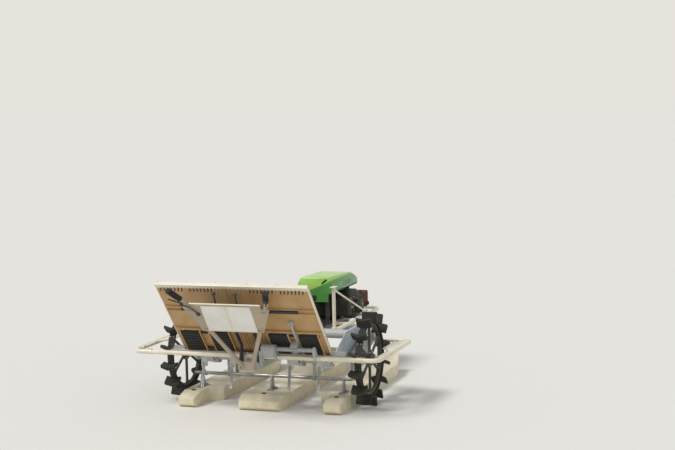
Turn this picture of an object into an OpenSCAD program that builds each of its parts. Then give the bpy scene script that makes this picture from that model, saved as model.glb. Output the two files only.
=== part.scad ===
// Walk-behind rice transplanter for four rows planted in two close pairs.
// Millimetres. +X points forward, +Y to the left, +Z up.
// The origin is on the ground under the middle of the machine.
// It stands parked on its three floats and on the lug tips of its two wheels.

/* [Rows and overall layout] */
// Distance between the two rows of a pair
row_pitch = 200; // [180:5:220]
// Wide gap between the inner rows
pair_gap = 400; // [380:5:440]
// Rear end of the hand grips, behind the origin
grip_end = 1240; // [1225:1:1280]
// Front of the guard hoop, ahead of the origin
hoop_front = 1240; // [1210:5:1300]
// Overall width across the side guards
guard_span = 1700; // [1660:5:1800]
// Height of the guard hoop's tube centre
hoop_z = 400; // [380:5:420]
// Height of the rear bar's tube centre
rear_bar_z = 372; // [366:1:376]
// Distance of the rear bar behind the origin
rear_bar_x = 680; // [672:1:690]

/* [Wheels] */
// Radius over the lug tips
wheel_r = 305; // [290:1:312]
// Radius of the wheel rim, on its tube centre
rim_r = 226; // [200:1:236]
// Diameter of the rim tube
rim_tube = 24; // [18:1:28]
// Distance between the two wheels, middle to middle
wheel_track = 1300; // [1290:2:1340]
// Distance of the parked wheel axle behind the origin
axle_back = 270; // [262:1:276]
// Number of rubber lugs on a wheel
lug_count = 14; // [10:1:16]
// Width of a lug across the wheel
lug_w = 100; // [80:2:108]
// Thickness of a lug at its tip
lug_t = 20; // [14:1:26]
// Number of spokes in a wheel
spoke_count = 6; // [5:1:8]
// Diameter of a spoke
spoke_d = 18; // [14:1:22]
// Diameter of the wheel shaft
wheel_shaft_d = 30; // [24:1:34]

/* [Drive] */
// Distance of the drive axle ahead of the origin
drive_x = 60; // [50:1:70]
// Height of the drive axle
drive_z = 400; // [390:1:410]
// Diameter of the two axle tubes
axle_tube_d = 60; // [48:2:70]
// Width of the gear case
gear_case_w = 150; // [140:2:160]
// Thickness of a swing case
swing_case_w = 44; // [36:1:46]
// Diameter of the main pipe that carries the planting unit
main_pipe_d = 60; // [50:2:70]
// Height of the main pipe
main_pipe_z = 350; // [345:1:355]

/* [Engine and hood] */
// Distance of the crankshaft ahead of the origin
crank_x = 850; // [835:1:860]
// Height of the crankshaft
crank_z = 486; // [480:1:488]
// Radius of the fan cowl
cowl_r = 108; // [98:1:109]
// Distance of the cowl's outer face from the middle plane
cowl_side = 236; // [220:1:238]
// Width of the hood at its lower edge
hood_w = 256; // [240:2:270]
// Rear end of the hood, ahead of the origin
hood_rear = 500; // [480:5:520]
// Front end of the hood, ahead of the origin
hood_front = 1085; // [1080:1:1095]
// Height of the hood's lower edge
hood_bottom = 604; // [602:1:612]
// Height of the hood's top at its rear end
hood_top = 716; // [704:2:740]
// Thickness of the hood's wall
hood_wall = 3; // [2:0.5:5]

/* [Seedling tray] */
// Slope of the tray from level
tray_tilt = 49; // [47:0.5:50]
// Length of the tray along its slope
tray_len = 640; // [600:5:660]
// Distance of the tray's low edge behind the origin
tray_low_x = 592; // [590:1:600]
// Height of the tray's low edge
tray_low_z = 380; // [378:1:386]
// Thickness of the tray's floor
tray_floor = 5; // [4:0.5:7]
// Height of the walls above the tray's floor
tray_wall = 26; // [22:1:40]
// Width of one seedling compartment
mat_w = 182; // [170:1:190]
// Travel of the tray to each side
tray_travel = 90; // [60:5:90]
// Width of a feed belt
belt_w = 120; // [100:2:132]

/* [Planting arms] */
// Distance of the planting shaft behind the origin
planter_x = 390; // [380:1:396]
// Height of the planting shaft
planter_z = 320; // [314:1:326]
// Radius of a crank
crank_len = 36; // [30:1:40]
// Angle of the cranks in the parked position
crank_angle = 215; // [205:1:225]
// Length of a rocker between its pins
rocker_len = 110; // [104:1:116]
// Distance of a rocker's pin from its crank pin along the arm
arm_front = 105; // [100:1:112]
// Distance of the fork holder from the crank pin
arm_rear = 105; // [95:1:112]
// Width of an arm
arm_w = 36; // [28:1:40]
// Length of a fork below its holder
fork_len = 150; // [120:5:165]

/* [Floats] */
// Height of the floats
float_h = 92; // [80:2:104]
// Width of the centre float
centre_float_w = 300; // [260:5:310]
// Front tip of the centre float, ahead of the origin
centre_float_front = 960; // [900:5:1000]
// Front tips of the side floats, ahead of the origin
side_float_front = 850; // [780:5:880]
// Tails of all floats, behind the origin
float_tail = 620; // [600:5:650]
// Distance of a side float's outer edge from the middle plane
side_float_out = 560; // [540:2:570]

/* [Hand controls] */
// Diameter of the handlebar tubes
bar_d = 28; // [24:1:32]
// Distance between the two grips
grip_gap = 640; // [600:5:680]
// Height of the grip ends
grip_z = 868; // [850:2:890]
// Diameter of a grip
grip_d = 36; // [32:1:42]
// Length of a grip
grip_len = 125; // [110:1:140]

/* [Hidden] */
$fn = 48;

// Gap between pieces that seat on each other
seat = 0.3;
// Gap between a shaft and the hole it turns or slides in
run_gap = 0.6;
// Overlap that makes welded pieces one solid
weld = 1;
// Distance that a link's flanks lie inside the circles at its ends
flank_sink = 0.04;
// Left and right side as +1 and -1
SIDES = [1, -1];
// The four rows from right to left
inner_row = pair_gap / 2;
outer_row = inner_row + row_pitch;
ROWS = [-outer_row, -inner_row, inner_row, outer_row];

cream = "#e9e4d2";
dark = "#2b2b2b";
steel = "#9a9da0";
tan = "#c08a4c";
rubber = "#1e1d1c";
cast = "#c3c5c4";
green = "#63a83a";

// Vectors, rounded corners and swept tubes
function unit(v) = v / norm(v);

// Arc that rounds the corner b between a and c with radius r in n steps
function corner_arc(a, b, c, r, n) =
  let (
    u = unit(a - b),
    v = unit(c - b),
    half = acos(u * v) / 2,
    middle = b + unit(u + v) * r / sin(half),
    from = b + u * r / tan(half) - middle,
    to = b + v * r / tan(half) - middle,
    turn = 180 - 2 * half
  )
  [for (k = [0 : n]) middle + (from * sin(turn * (1 - k / n)) + to * sin(turn * k / n)) / sin(turn)];

// An open path with every inner corner rounded
function rounded_path(p, r, n) = [
  p[0],
  for (i = [1 : len(p) - 2]) each corner_arc(p[i - 1], p[i], p[i + 1], r, n),
  p[len(p) - 1]
];

// A closed outline with every corner rounded
function rounded_outline(p, r, n) = [
  for (i = [0 : len(p) - 1])
    each corner_arc(p[(i + len(p) - 1) % len(p)], p[i], p[(i + 1) % len(p)], r, n)
];

function tangent_at(p, i) = unit(p[min(i + 1, len(p) - 1)] - p[max(i - 1, 0)]);

// One ring of a swept tube. The flat vector lies square to the path's own plane.
function ring_at(p, i, r, flat, sides) =
  let (
    t = tangent_at(p, i),
    side = unit(cross(flat, t)),
    up = cross(t, side)
  )
  [for (k = [0 : sides - 1]) p[i] + r * (cos(360 * k / sides) * side + sin(360 * k / sides) * up)];

module sweep_tube(p, d, flat = [0, 0, 1], sides = 16) {
  rings = len(p);
  points = [for (i = [0 : rings - 1]) each ring_at(p, i, d / 2, flat, sides)];
  walls = [
    for (i = [0 : rings - 2], k = [0 : sides - 1])
      let (next = (k + 1) % sides)
        [i * sides + k, (i + 1) * sides + k, (i + 1) * sides + next, i * sides + next]
  ];
  start_cap = [[for (k = [0 : sides - 1]) k]];
  end_cap = [[for (k = [sides - 1 : -1 : 0]) (rings - 1) * sides + k]];
  polyhedron(points, concat(start_cap, walls, end_cap));
}

// Straight round bar between two points
module bar(a, b, d) {
  v = b - a;
  flat_len = norm([v[0], v[1]]);
  translate(a)
    rotate([0, atan2(flat_len, v[2]), atan2(v[1], v[0])])
      cylinder(h = norm(v), d = d);
}

// Shapes drawn in the X-Z plane and given a width along Y
module side_plate(y_mid, w) {
  translate([0, y_mid + w / 2, 0])
    rotate([90, 0, 0])
      linear_extrude(w) children();
}

// Round bar along Y
module cross_bar(x, z, y_mid, len, d) {
  translate([x, y_mid + len / 2, z])
    rotate([90, 0, 0])
      cylinder(h = len, d = d);
}

// Outline of a link between two round ends of unlike radius
module link_outline(a, ra, b, rb) {
  v = b - a;
  lean = asin((ra - rb) / norm(v));
  base = atan2(v[1], v[0]);
  n1 = base + 90 - lean;
  n2 = base - 90 + lean;
  // The straight flanks start a hair inside the circles, so that they cross them cleanly
  qa = ra - flank_sink;
  qb = rb - flank_sink;
  translate(a) circle(r = ra);
  translate(b) circle(r = rb);
  polygon([
    a + qa * [cos(n1), sin(n1)],
    b + qb * [cos(n1), sin(n1)],
    b + qb * [cos(n2), sin(n2)],
    a + qa * [cos(n2), sin(n2)]
  ]);
}

function mirror_y(side, p) = [p[0], side * p[1], p[2]];

// Frame

bearer_w = 30;
bearer_h = 40;
bearer_y = gear_case_w / 2 + bearer_w / 2;
hoop_d = 27;
hoop_y = 260;
hoop_bend = 90;
bearer_top = hoop_z - hoop_d / 2 - seat;
bearer_rear = 120;
bearer_front = hood_front + 10;
engine_plate_t = 6;
engine_plate_rear = 640;
engine_base = bearer_top + engine_plate_t;

rear_arm_y = 60;
rear_arm_w = 14;
rear_arm_top = 340;
rear_arm_h = 44;
rear_arm_end = 752;
rear_bar_d = 30;
planter_case_r = 46;
beam_ahead = 128;

hinge_x = hood_front - 14;
hinge_z = hood_bottom - 12;
hinge_pin_d = 10;
knuckle_d = 20;
knuckle_y = 47;
knuckle_w = 14;
hood_stand_t = 6;
hood_stand_x = hood_rear + 14;
apron_half = 105;
apron_drop = 60;
hand_slot = [48, 13];
hand_slot_y = -70;
hand_slot_drop = 31;
hand_slot_lean = 40;

module main_frame() {
  color(dark) {
    for (side = SIDES)
      translate([bearer_rear, side * bearer_y - bearer_w / 2, bearer_top - bearer_h])
        cube([bearer_front - bearer_rear, bearer_w, bearer_h]);
    // Engine plate and the two cross members under it
    translate([engine_plate_rear, -bearer_y - bearer_w / 2, bearer_top - weld])
      cube([bearer_front - engine_plate_rear, 2 * bearer_y + bearer_w, engine_plate_t + weld]);
    for (x = [engine_plate_rear, bearer_front - bearer_w])
      translate([x, -bearer_y, bearer_top - bearer_h])
        cube([bearer_w, 2 * bearer_y, bearer_h]);
    hood_stand();
    front_upright();
  }
}

// Upright that the closed hood's rear edge lies on
module hood_stand() {
  stand_w = hood_w - 40;
  top = hood_bottom - seat;
  shelf_half = hood_w / 2 - 4;
  tab_w = shelf_half - apron_half - 5;
  for (side = SIDES)
    translate([hood_stand_x, side * bearer_y - bearer_w / 2, bearer_top - weld])
      cube([hood_stand_t, bearer_w, top - bearer_top + weld]);
  translate([hood_stand_x, -stand_w / 2, top - 26])
    cube([hood_stand_t, stand_w, 26]);
  translate([hood_stand_x - 2, -shelf_half, top - hood_stand_t])
    cube([22, 2 * shelf_half, hood_stand_t]);
  // Tabs that reach under the hood's rear wall beside its apron
  for (side = SIDES)
    translate([hood_rear - 4, side * (shelf_half - tab_w / 2) - tab_w / 2, top - hood_stand_t])
      cube([hood_stand_x - hood_rear + 4, tab_w, hood_stand_t]);
}

// Upright at the front with the two knuckles of the hood's hinge
module front_upright() {
  plate_t = 6;
  top = hinge_z - knuckle_d / 2 - 3;
  difference() {
    union() {
      translate([hinge_x - plate_t / 2, -70, bearer_top - weld])
        cube([plate_t, 140, top - bearer_top + weld]);
      for (side = SIDES) {
        cross_bar(hinge_x, hinge_z, side * knuckle_y, knuckle_w, knuckle_d);
        translate([hinge_x - plate_t / 2, side * knuckle_y - knuckle_w / 2, top - weld])
          cube([plate_t, knuckle_w, hinge_z - top]);
      }
    }
    for (side = SIDES)
      cross_bar(hinge_x, hinge_z, side * knuckle_y, knuckle_w + 2 * weld, hinge_pin_d + 2 * run_gap);
    // Window that lightens the upright
    translate([hinge_x - plate_t, -40, bearer_top + 40])
      cube([2 * plate_t, 80, top - bearer_top - 70]);
  }
}

hoop_rear = drive_x + axle_tube_d / 2 + seat;
stub_d = 24;
stub_drop = 22;
stub_places = [300, 600, 1000];

module guard_hoop() {
  front = hoop_front - hoop_d / 2;
  corners = [
    [hoop_rear, hoop_y, hoop_z],
    [front, hoop_y, hoop_z],
    [front, -hoop_y, hoop_z],
    [hoop_rear, -hoop_y, hoop_z]
  ];
  color(cream) {
    sweep_tube(rounded_path(corners, hoop_bend, 8), hoop_d);
    // Stubs from the hoop to the bearers, low enough to pass under the belt cover
    for (x = stub_places, side = SIDES) {
      inner = bearer_y + bearer_w / 2 + seat;
      cross_bar(x, hoop_z - stub_drop, side * (hoop_y + inner) / 2, hoop_y - inner, stub_d);
    }
  }
}

tow_bore = 18;
tow_x = 1170;
tow_z = bearer_top - 24;
tow_t = 12;

module tow_lug() {
  foot_w = 2 * bearer_y - bearer_w;
  color(dark)
    difference() {
      union() {
        side_plate(0, tow_t)
          link_outline([bearer_front + 14, tow_z], 14, [tow_x, tow_z], 24);
        translate([bearer_front + seat, -foot_w / 2 - 20, tow_z - 14])
          cube([8, foot_w + 40, 28]);
      }
      cross_bar(tow_x, tow_z, 0, tow_t + 2 * weld, tow_bore);
    }
}

// Rack posts: where a spare seedling rack bolts on

post_x = 170;
post_d = 24;
post_top = 704;
stay_d = 13;
stay_foot_x = 870;
rack_hole_d = 9;
rack_hole_gap = 44;
rack_plate = [76, 34, 5];

module rack_post(side) {
  y = side * hoop_y;
  foot_z = hoop_z + hoop_d / 2;
  color(cream)
    difference() {
      union() {
        translate([post_x, y, foot_z + seat])
          cylinder(h = post_top - rack_plate[2] - foot_z - seat + weld, d = post_d);
        bar([post_x, y, post_top - 20], [stay_foot_x, y, foot_z + 12], stay_d);
        translate([stay_foot_x - 6, y - 12, foot_z + seat])
          cube([34, 24, 18]);
        translate([post_x - 17, y - 17, foot_z + seat])
          cube([34, 34, 10]);
        translate([post_x - rack_plate[0] / 2, y - rack_plate[1] / 2, post_top - rack_plate[2]])
          cube(rack_plate);
      }
      for (end = SIDES)
        translate([post_x + end * rack_hole_gap / 2, y, post_top - 14])
          cylinder(h = 20, d = rack_hole_d);
    }
}

// Gear case, axle tubes and swing cases

gear_case_x0 = -40;
gear_case_x1 = 250;
gear_case_z0 = 300;
gear_case_z1 = 470;
input_x = 190;
input_z = 458;
axle_flange_y = wheel_track / 2 - 122;
axle_flange_t = 14;
swing_y = axle_flange_y + seat + swing_case_w / 2;

module gear_case() {
  half_w = gear_case_w / 2;
  outline = rounded_outline([
    [gear_case_x0, gear_case_z0],
    [gear_case_x1, gear_case_z0 + 40],
    [gear_case_x1, gear_case_z1 + 10],
    [120, gear_case_z1 + 30],
    [gear_case_x0, gear_case_z1 - 20]
  ], 26, 6);
  color(cast) {
    side_plate(0, gear_case_w) polygon(outline);
    // Split flange between the two halves of the case
    side_plate(0, 14)
      polygon(rounded_outline([
        [gear_case_x0 - 10, gear_case_z0 - 10],
        [gear_case_x1 + 6, gear_case_z0 + 32],
        [gear_case_x1 + 6, gear_case_z1 + 18],
        [118, gear_case_z1 + 40],
        [gear_case_x0 - 10, gear_case_z1 - 12]
      ], 30, 6));
    // Filler neck and its cap
    translate([40, 0, gear_case_z1 - 10])
      cylinder(h = 46, d = 34);
    translate([40, 0, gear_case_z1 + 30])
      cylinder(h = 14, d = 44);
    // Input shaft towards the belt drive
    cross_bar(input_x, input_z, (half_w - weld + cover_y - seat) / 2, cover_y - seat - half_w + weld, 62);
  }
}

module axle_tubes() {
  inner = gear_case_w / 2 + seat;
  color(cast)
    for (side = SIDES) {
      len = axle_flange_y - inner;
      cross_bar(drive_x, drive_z, side * (inner + len / 2), len, axle_tube_d);
      cross_bar(drive_x, drive_z, side * (inner + 8), 16, axle_tube_d + 44);
      cross_bar(
        drive_x,
        drive_z,
        side * (axle_flange_y - axle_flange_t / 2),
        axle_flange_t,
        axle_tube_d + 40
      );
    }
}

pivot_cap = 10;
swing_r1 = 50;
swing_r2 = 44;

module swing_case(side) {
  boss_len = wheel_track / 2 - hub_w / 2 - seat - swing_y - swing_case_w / 2;
  y_face = swing_y + swing_case_w / 2;
  axle = [-axle_back, wheel_r];
  pivot = [drive_x, drive_z];
  color(cast) {
    side_plate(side * swing_y, swing_case_w)
      link_outline(pivot, swing_r1, axle, swing_r2);
    side_plate(side * swing_y, 12)
      link_outline(pivot, swing_r1 + 8, axle, swing_r2 + 8);
    cross_bar(
      axle[0],
      axle[1],
      side * (y_face + boss_len / 2 - weld / 2),
      boss_len + weld,
      wheel_shaft_d + 20
    );
    cross_bar(axle[0], axle[1], side * (wheel_track / 2 - seat / 2), hub_w + 30, wheel_shaft_d);
    cross_bar(pivot[0], pivot[1], side * (y_face + (pivot_cap - weld) / 2), pivot_cap + weld, 60);
  }
}

// Wheels

hub_w = 60;
hub_r = 34;
rim_plate_r = rim_r - rim_tube / 2 + 3;
lug_root_r = rim_r + rim_tube / 2 - 5;

module at_wheel(side) {
  translate([-axle_back, side * wheel_track / 2, wheel_r])
    rotate([90, 0, 0])
      children();
}

module wheel(side) {
  bore = wheel_shaft_d + 2 * run_gap;
  color(dark)
    at_wheel(side)
      difference() {
        union() {
          cylinder(h = hub_w, r = hub_r, center = true);
          cylinder(h = 10, r = hub_r + 24, center = true);
          rotate_extrude($fn = 72)
            translate([rim_r, 0]) circle(d = rim_tube, $fn = 24);
          for (i = [0 : spoke_count - 1])
            rotate([0, 90, 360 * (i + 0.5) / spoke_count])
              translate([0, 0, hub_r - 6])
                cylinder(h = rim_r - hub_r + 6, d = spoke_d, $fn = 24);
        }
        cylinder(h = 2 * hub_w, d = bore, center = true);
      }
}

// Rubber lugs: bent paddles on a rubber band round the rim
module lugs(side) {
  band_in = rim_r + rim_tube / 2 + seat;
  band_out = band_in + 9;
  color(rubber)
    at_wheel(side) {
      difference() {
        cylinder(h = 46, r = band_out, center = true, $fn = 84);
        cylinder(h = 60, r = band_in, center = true, $fn = 84);
      }
      for (i = [0 : lug_count - 1])
        rotate([0, 0, 360 * i / lug_count - 90])
          lug_blade(band_in + 4);
    }
}

// One lug, swept back at both ends and cut to the tip circle
module lug_blade(root) {
  sweep_back = 16;
  half = lug_w / 2;
  intersection() {
    translate([root, 0, 0])
      rotate([0, 90, 0])
        linear_extrude(wheel_r - root + 10)
          polygon([
            [-half, -lug_t / 2 - sweep_back],
            [0, -lug_t / 2],
            [half, -lug_t / 2 - sweep_back],
            [half, lug_t / 2 - sweep_back],
            [0, lug_t / 2 + 3],
            [-half, lug_t / 2 - sweep_back]
          ]);
    cylinder(h = 2 * lug_w, r = wheel_r, center = true, $fn = 96);
  }
}

guard_ahead = 40;
guard_knee = axle_back + 60;
guard_tail = axle_back + 260;
guard_top = drive_z + 86;

// Sheet guards inside the wheels, bolted to the axle flanges
module mudguards() {
  sheet = 4;
  y = axle_flange_y - axle_flange_t - sheet / 2 - seat;
  outline = rounded_outline([
    [drive_x + guard_ahead, drive_z - 60],
    [drive_x + guard_ahead, drive_z + 70],
    [-guard_knee, guard_top],
    [-guard_tail, guard_top - 86],
    [-guard_tail, guard_top - 156],
    [-guard_knee - 50, guard_top - 186]
  ], 22, 6);
  color("#c9d3da")
    for (side = SIDES)
      difference() {
        union() {
          side_plate(side * y, sheet) polygon(outline);
          translate([-guard_knee, side * y - (side > 0 ? 12 : sheet / 2), guard_top - sheet])
            cube([drive_x + guard_knee, 12 + sheet / 2, sheet]);
        }
        cross_bar(drive_x, drive_z, side * y, 60, axle_tube_d + 2 * seat);
      }
}

// Pressed bed under the engine's end of the frame
module engine_bed() {
  sheet = 4;
  bed_len = 260;
  flat_half = bearer_y + bearer_w / 2 + 8;
  skirt_half = 190;
  top = bearer_top - bearer_h - seat;
  skirt_low = top - 46;
  color("#c9d3da")
    translate([engine_plate_rear + bearer_w, 0, 0])
      rotate([90, 0, 90])
        linear_extrude(bed_len)
          polygon([
            [-skirt_half, skirt_low],
            [-skirt_half + sheet, skirt_low],
            [-flat_half + sheet / 2, top - sheet],
            [flat_half - sheet / 2, top - sheet],
            [skirt_half - sheet, skirt_low],
            [skirt_half, skirt_low],
            [flat_half, top],
            [-flat_half, top]
          ]);
}

// Engine

block_w = 236;
block_y0 = -118;
block_front = 110;
cover_y = -block_y0 + 14;
cover_w = 54;

module engine_block() {
  plate = engine_base + seat;
  outline = rounded_outline([
    [crank_x - 118, plate],
    [crank_x + block_front, plate],
    [crank_x + block_front, crank_z + 52],
    [crank_x - 10, crank_z + 86],
    [crank_x - 96, crank_z + 86],
    [crank_x - 118, crank_z + 40]
  ], 16, 6);
  color(dark) {
    translate([0, block_y0 + block_w / 2, 0])
      side_plate(0, block_w) polygon(outline);
    cross_bar(
      crank_x,
      crank_z,
      (cover_y - seat - block_y0 - weld) / 2,
      cover_y - seat + block_y0 + weld,
      56
    );
    // Finned cylinder leaning forward
    translate([crank_x + 60, 0, crank_z + 20])
      rotate([0, 60, 0]) {
        cylinder(h = 96, d = 92);
        for (i = [0 : 6])
          translate([-62, -66, 34 + 9 * i])
            cube([118, 132, 4]);
        translate([-50, -54, 92])
          cube([96, 108, 16]);
      }
  }
}

module fan_cowl() {
  depth = cowl_side + block_y0 - seat;
  color(dark)
    translate([crank_x, block_y0 - seat, crank_z])
      rotate([90, 0, 0])
        difference() {
          union() {
            rotate_extrude($fn = 72)
              polygon([
                [0, 0],
                [cowl_r, 0],
                [cowl_r, depth * 0.55],
                [cowl_r - 10, depth * 0.68],
                [cowl_r - 34, depth * 0.74],
                [cowl_r - 40, depth - 6],
                [cowl_r - 46, depth],
                [0, depth]
              ]);
            // Grip of the recoil starter's rope
            translate([-70, 44, depth * 0.6])
              rotate([0, 0, 35]) cylinder(h = 46, d = 20);
          }
          // Louvres round the starter's cover
          for (i = [0 : 11])
            rotate([0, 0, 30 * i])
              translate([38, -6, depth - 8])
                cube([26, 12, 20]);
          cylinder(h = 3 * depth, d = 22, center = true);
        }
}

module muffler() {
  box_x = crank_x + block_front + seat;
  color("#6b4a35") {
    side_plate(-150, 150)
      polygon(rounded_outline([
        [box_x, crank_z - 40],
        [box_x + 76, crank_z - 40],
        [box_x + 76, crank_z + 74],
        [box_x, crank_z + 74]
      ], 18, 5));
    side_plate(-150, 158)
      polygon(rounded_outline([
        [box_x + 33, crank_z - 44],
        [box_x + 43, crank_z - 44],
        [box_x + 43, crank_z + 78],
        [box_x + 33, crank_z + 78]
      ], 4, 3));
    cross_bar(box_x + 38, crank_z - 18, -228, 20, 24);
  }
}

module air_cleaner() {
  color(dark) {
    translate([crank_x - 118 - 92, -200, crank_z - 60])
      cube([92 - seat, 150, 116]);
    translate([crank_x - 118 - 84, -206, crank_z - 52])
      cube([76, 162, 100]);
  }
}

module fuel_tank() {
  tank_z = crank_z + 99;
  color(dark) {
    translate([crank_x - 150, 0, 0])
      rotate([90, 0, 90])
        linear_extrude(200)
          polygon(rounded_outline([
            [-96, tank_z],
            [96, tank_z],
            [92, hood_top - hood_wall - 26],
            [-92, hood_top - hood_wall - 26]
          ], 16, 5));
    for (side = SIDES)
      translate([crank_x - 74, side * 60 - 10, crank_z + 86 + seat])
        cube([40, 20, 14]);
  }
}

module belt_cover() {
  color(dark)
    difference() {
      union() {
        side_plate(cover_y + cover_w / 2, cover_w)
          link_outline([crank_x, crank_z], 78, [input_x, input_z], 58);
        side_plate(cover_y + 6, 12)
          link_outline([crank_x, crank_z], 84, [input_x, input_z], 64);
      }
      for (i = [0 : 5])
        translate([crank_x - 210 - 62 * i, cover_y + cover_w - 3, (crank_z + input_z) / 2 - 34])
          cube([18, 6, 68]);
    }
}

// Hood: a thin shell, hinged at its front lower edge

function hood_section(inset) = rounded_outline([
  [-hood_w / 2 + inset, hood_bottom - 40],
  [hood_w / 2 - inset, hood_bottom - 40],
  [hood_w / 2 - inset, hood_bottom + 70],
  [hood_w / 2 - 26 - inset, hood_top - inset],
  [-hood_w / 2 + 26 + inset, hood_top - inset],
  [-hood_w / 2 + inset, hood_bottom + 70]
], 18, 5);

function hood_side(inset, floor_z) = rounded_outline([
  [hood_rear + inset, floor_z],
  [hood_front - inset, floor_z],
  [hood_front - inset, hood_bottom + 40],
  [hood_front - 120, hood_top - 16 - inset],
  [hood_rear + 20 + inset, hood_top - inset]
], 12, 5);

module hood_form(inset, floor_z) {
  intersection() {
    translate([hood_rear - 20, 0, 0])
      rotate([90, 0, 90])
        linear_extrude(hood_front - hood_rear + 40)
          polygon(hood_section(inset));
    side_plate(0, hood_w + 20) polygon(hood_side(inset, floor_z));
  }
}

// Place of the hood's rear wall at a height
function hood_rear_at(z) = hood_rear + 20 * (z - hood_bottom + 20) / (hood_top - hood_bottom + 20);

// Lower lip of the rear wall, just inside its outer face
module hood_apron() {
  low = hood_bottom - apron_drop;
  high = hood_bottom + 8;
  side_plate(0, 2 * apron_half)
    polygon([
      [hood_rear_at(low) + 1, low],
      [hood_rear_at(low) + 4, low],
      [hood_rear_at(high) + 4, high],
      [hood_rear_at(high) + 1, high]
    ]);
}

module hood() {
  ear_y = knuckle_y - knuckle_w / 2 - seat - 7;
  color(green) {
    difference() {
      hood_form(0, hood_bottom - 20);
      hood_form(hood_wall, hood_bottom - 60);
      translate([hood_rear - 60, -hood_w, hood_bottom - 100])
        cube([hood_front - hood_rear + 200, 2 * hood_w, 100]);
      // Slanted hand slot and cooling slots
      translate([hood_rear - 10, hand_slot_y, hood_top - hand_slot_drop])
        rotate([-hand_slot_lean, 0, 0])
          translate([0, -hand_slot[0] / 2, -hand_slot[1] / 2])
            cube([40, hand_slot[0], hand_slot[1]]);
      for (side = SIDES)
        for (i = [0 : 4])
          translate([crank_x - 80 + 34 * i, side * hood_w / 2 - 10, hood_bottom + 22])
            cube([16, 20, 34]);
    }
    hood_apron();
    for (side = SIDES)
      difference() {
        union() {
          cross_bar(hinge_x, hinge_z, side * ear_y, 14, knuckle_d);
          translate([hinge_x - 8, side * ear_y - 7, hinge_z])
            cube([hood_front - hood_wall - hinge_x + 9, 14, hood_bottom - hinge_z + 30]);
        }
        cross_bar(hinge_x, hinge_z, side * ear_y, 20, hinge_pin_d);
      }
    // Hinge pin, held in the hood's own ears
    cross_bar(hinge_x, hinge_z, 0, 2 * knuckle_y + knuckle_w + 8, hinge_pin_d);
  }
}

// Planting unit

shaft_pt = [-planter_x, planter_z];
beam_pt = shaft_pt + [beam_ahead, 15];
rocker_pivot = [-planter_x + 85, planter_z + 52];
crank_pin = shaft_pt + crank_len * [cos(crank_angle), sin(crank_angle)];

// Pin between rocker and arm: where the two circles round their other pins cross
function linkage_pin(p, rp, q, rq) =
  let (
    d = norm(q - p),
    u = (q - p) / d,
    along = (rp * rp - rq * rq + d * d) / (2 * d),
    off = sqrt(rp * rp - along * along)
  )
  p + along * u + off * [-u[1], u[0]];

// Direction from a row towards its head case
function toward_head(y) = sign(head_y - abs(y)) * sign(y);

rocker_pin = linkage_pin(rocker_pivot, rocker_len, crank_pin, arm_front);
arm_dir = unit(crank_pin - rocker_pin);
holder_pt = crank_pin + arm_rear * arm_dir;
fork_dir = unit([-0.2, -0.98]);
head_y = (inner_row + outer_row) / 2;
head_w = 88;
pin_d = 14;
shaft_d = 24;
link_t = 10;

// Outline of a head case, from the planting shaft over the rocker's pivot to the beam
module head_outline(gap) {
  link_outline(shaft_pt, 38 + gap, rocker_pivot, 26 + gap);
  link_outline(rocker_pivot, 26 + gap, beam_pt, 36 + gap);
  link_outline(shaft_pt, 38 + gap, beam_pt, 36 + gap);
}

module planter_drive() {
  case_w = 2 * rear_arm_y - rear_arm_w;
  tube_len = head_y - head_w / 2 - case_w / 2;
  pipe_end = gear_case_x0 - 10 - seat;
  color(cast) {
    // Middle case, with the main pipe ahead of it
    cross_bar(beam_pt[0], beam_pt[1], 0, case_w, 2 * planter_case_r);
    translate([beam_pt[0], 0, main_pipe_z])
      rotate([0, 90, 0])
        cylinder(h = pipe_end - beam_pt[0], d = main_pipe_d);
    translate([pipe_end - 14, 0, main_pipe_z])
      rotate([0, 90, 0])
        cylinder(h = 14, d = main_pipe_d + 36);
    for (side = SIDES) {
      cross_bar(beam_pt[0], beam_pt[1], side * (case_w / 2 + tube_len / 2), tube_len + 2 * weld, 54);
      side_plate(side * head_y, head_w) head_outline(0);
      // Rear arm below the tray, with its foot on the case
      translate([-rear_arm_end, side * rear_arm_y - rear_arm_w / 2, rear_arm_top - rear_arm_h])
        cube([rear_arm_end + beam_pt[0], rear_arm_w, rear_arm_h]);
      cross_bar(beam_pt[0], beam_pt[1], side * rear_arm_y, rear_arm_w, 2 * planter_case_r + 8);
    }
    translate([-rear_arm_end, -rear_arm_y, rear_arm_top - rear_arm_h])
      cube([12, 2 * rear_arm_y, rear_arm_h]);
    // Planting shafts and rocker pivots, from the heads to just short of the arms
    for (y = ROWS) {
      toward = toward_head(y);
      reach = abs(abs(y) - head_y) - arm_w / 2 - head_w / 2 - 2 + weld;
      y_mid = y + toward * (arm_w / 2 + 2 + reach / 2);
      cross_bar(shaft_pt[0], shaft_pt[1], y_mid, reach, shaft_d);
      cross_bar(rocker_pivot[0], rocker_pivot[1], y_mid, reach, pin_d);
    }
  }
}

// Crank and rocker of each arm, in the gap between the arm and its head case
module cranks() {
  color(steel)
    for (y = ROWS) {
      toward = toward_head(y);
      link_y = y + toward * (arm_w / 2 + seat + link_t / 2);
      difference() {
        union() {
          side_plate(link_y, link_t)
            link_outline(shaft_pt, 24, crank_pin, 16);
          side_plate(link_y, link_t)
            link_outline(rocker_pivot, 16, rocker_pin, 13);
        }
        cross_bar(shaft_pt[0], shaft_pt[1], link_y, 2 * link_t, shaft_d + 2 * seat);
        cross_bar(rocker_pivot[0], rocker_pivot[1], link_y, 2 * link_t, pin_d + 2 * seat);
        cross_bar(crank_pin[0], crank_pin[1], link_y, 2 * link_t, pin_d + 2 * seat);
        cross_bar(rocker_pin[0], rocker_pin[1], link_y, 2 * link_t, pin_d + 2 * seat);
      }
    }
}

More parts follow.
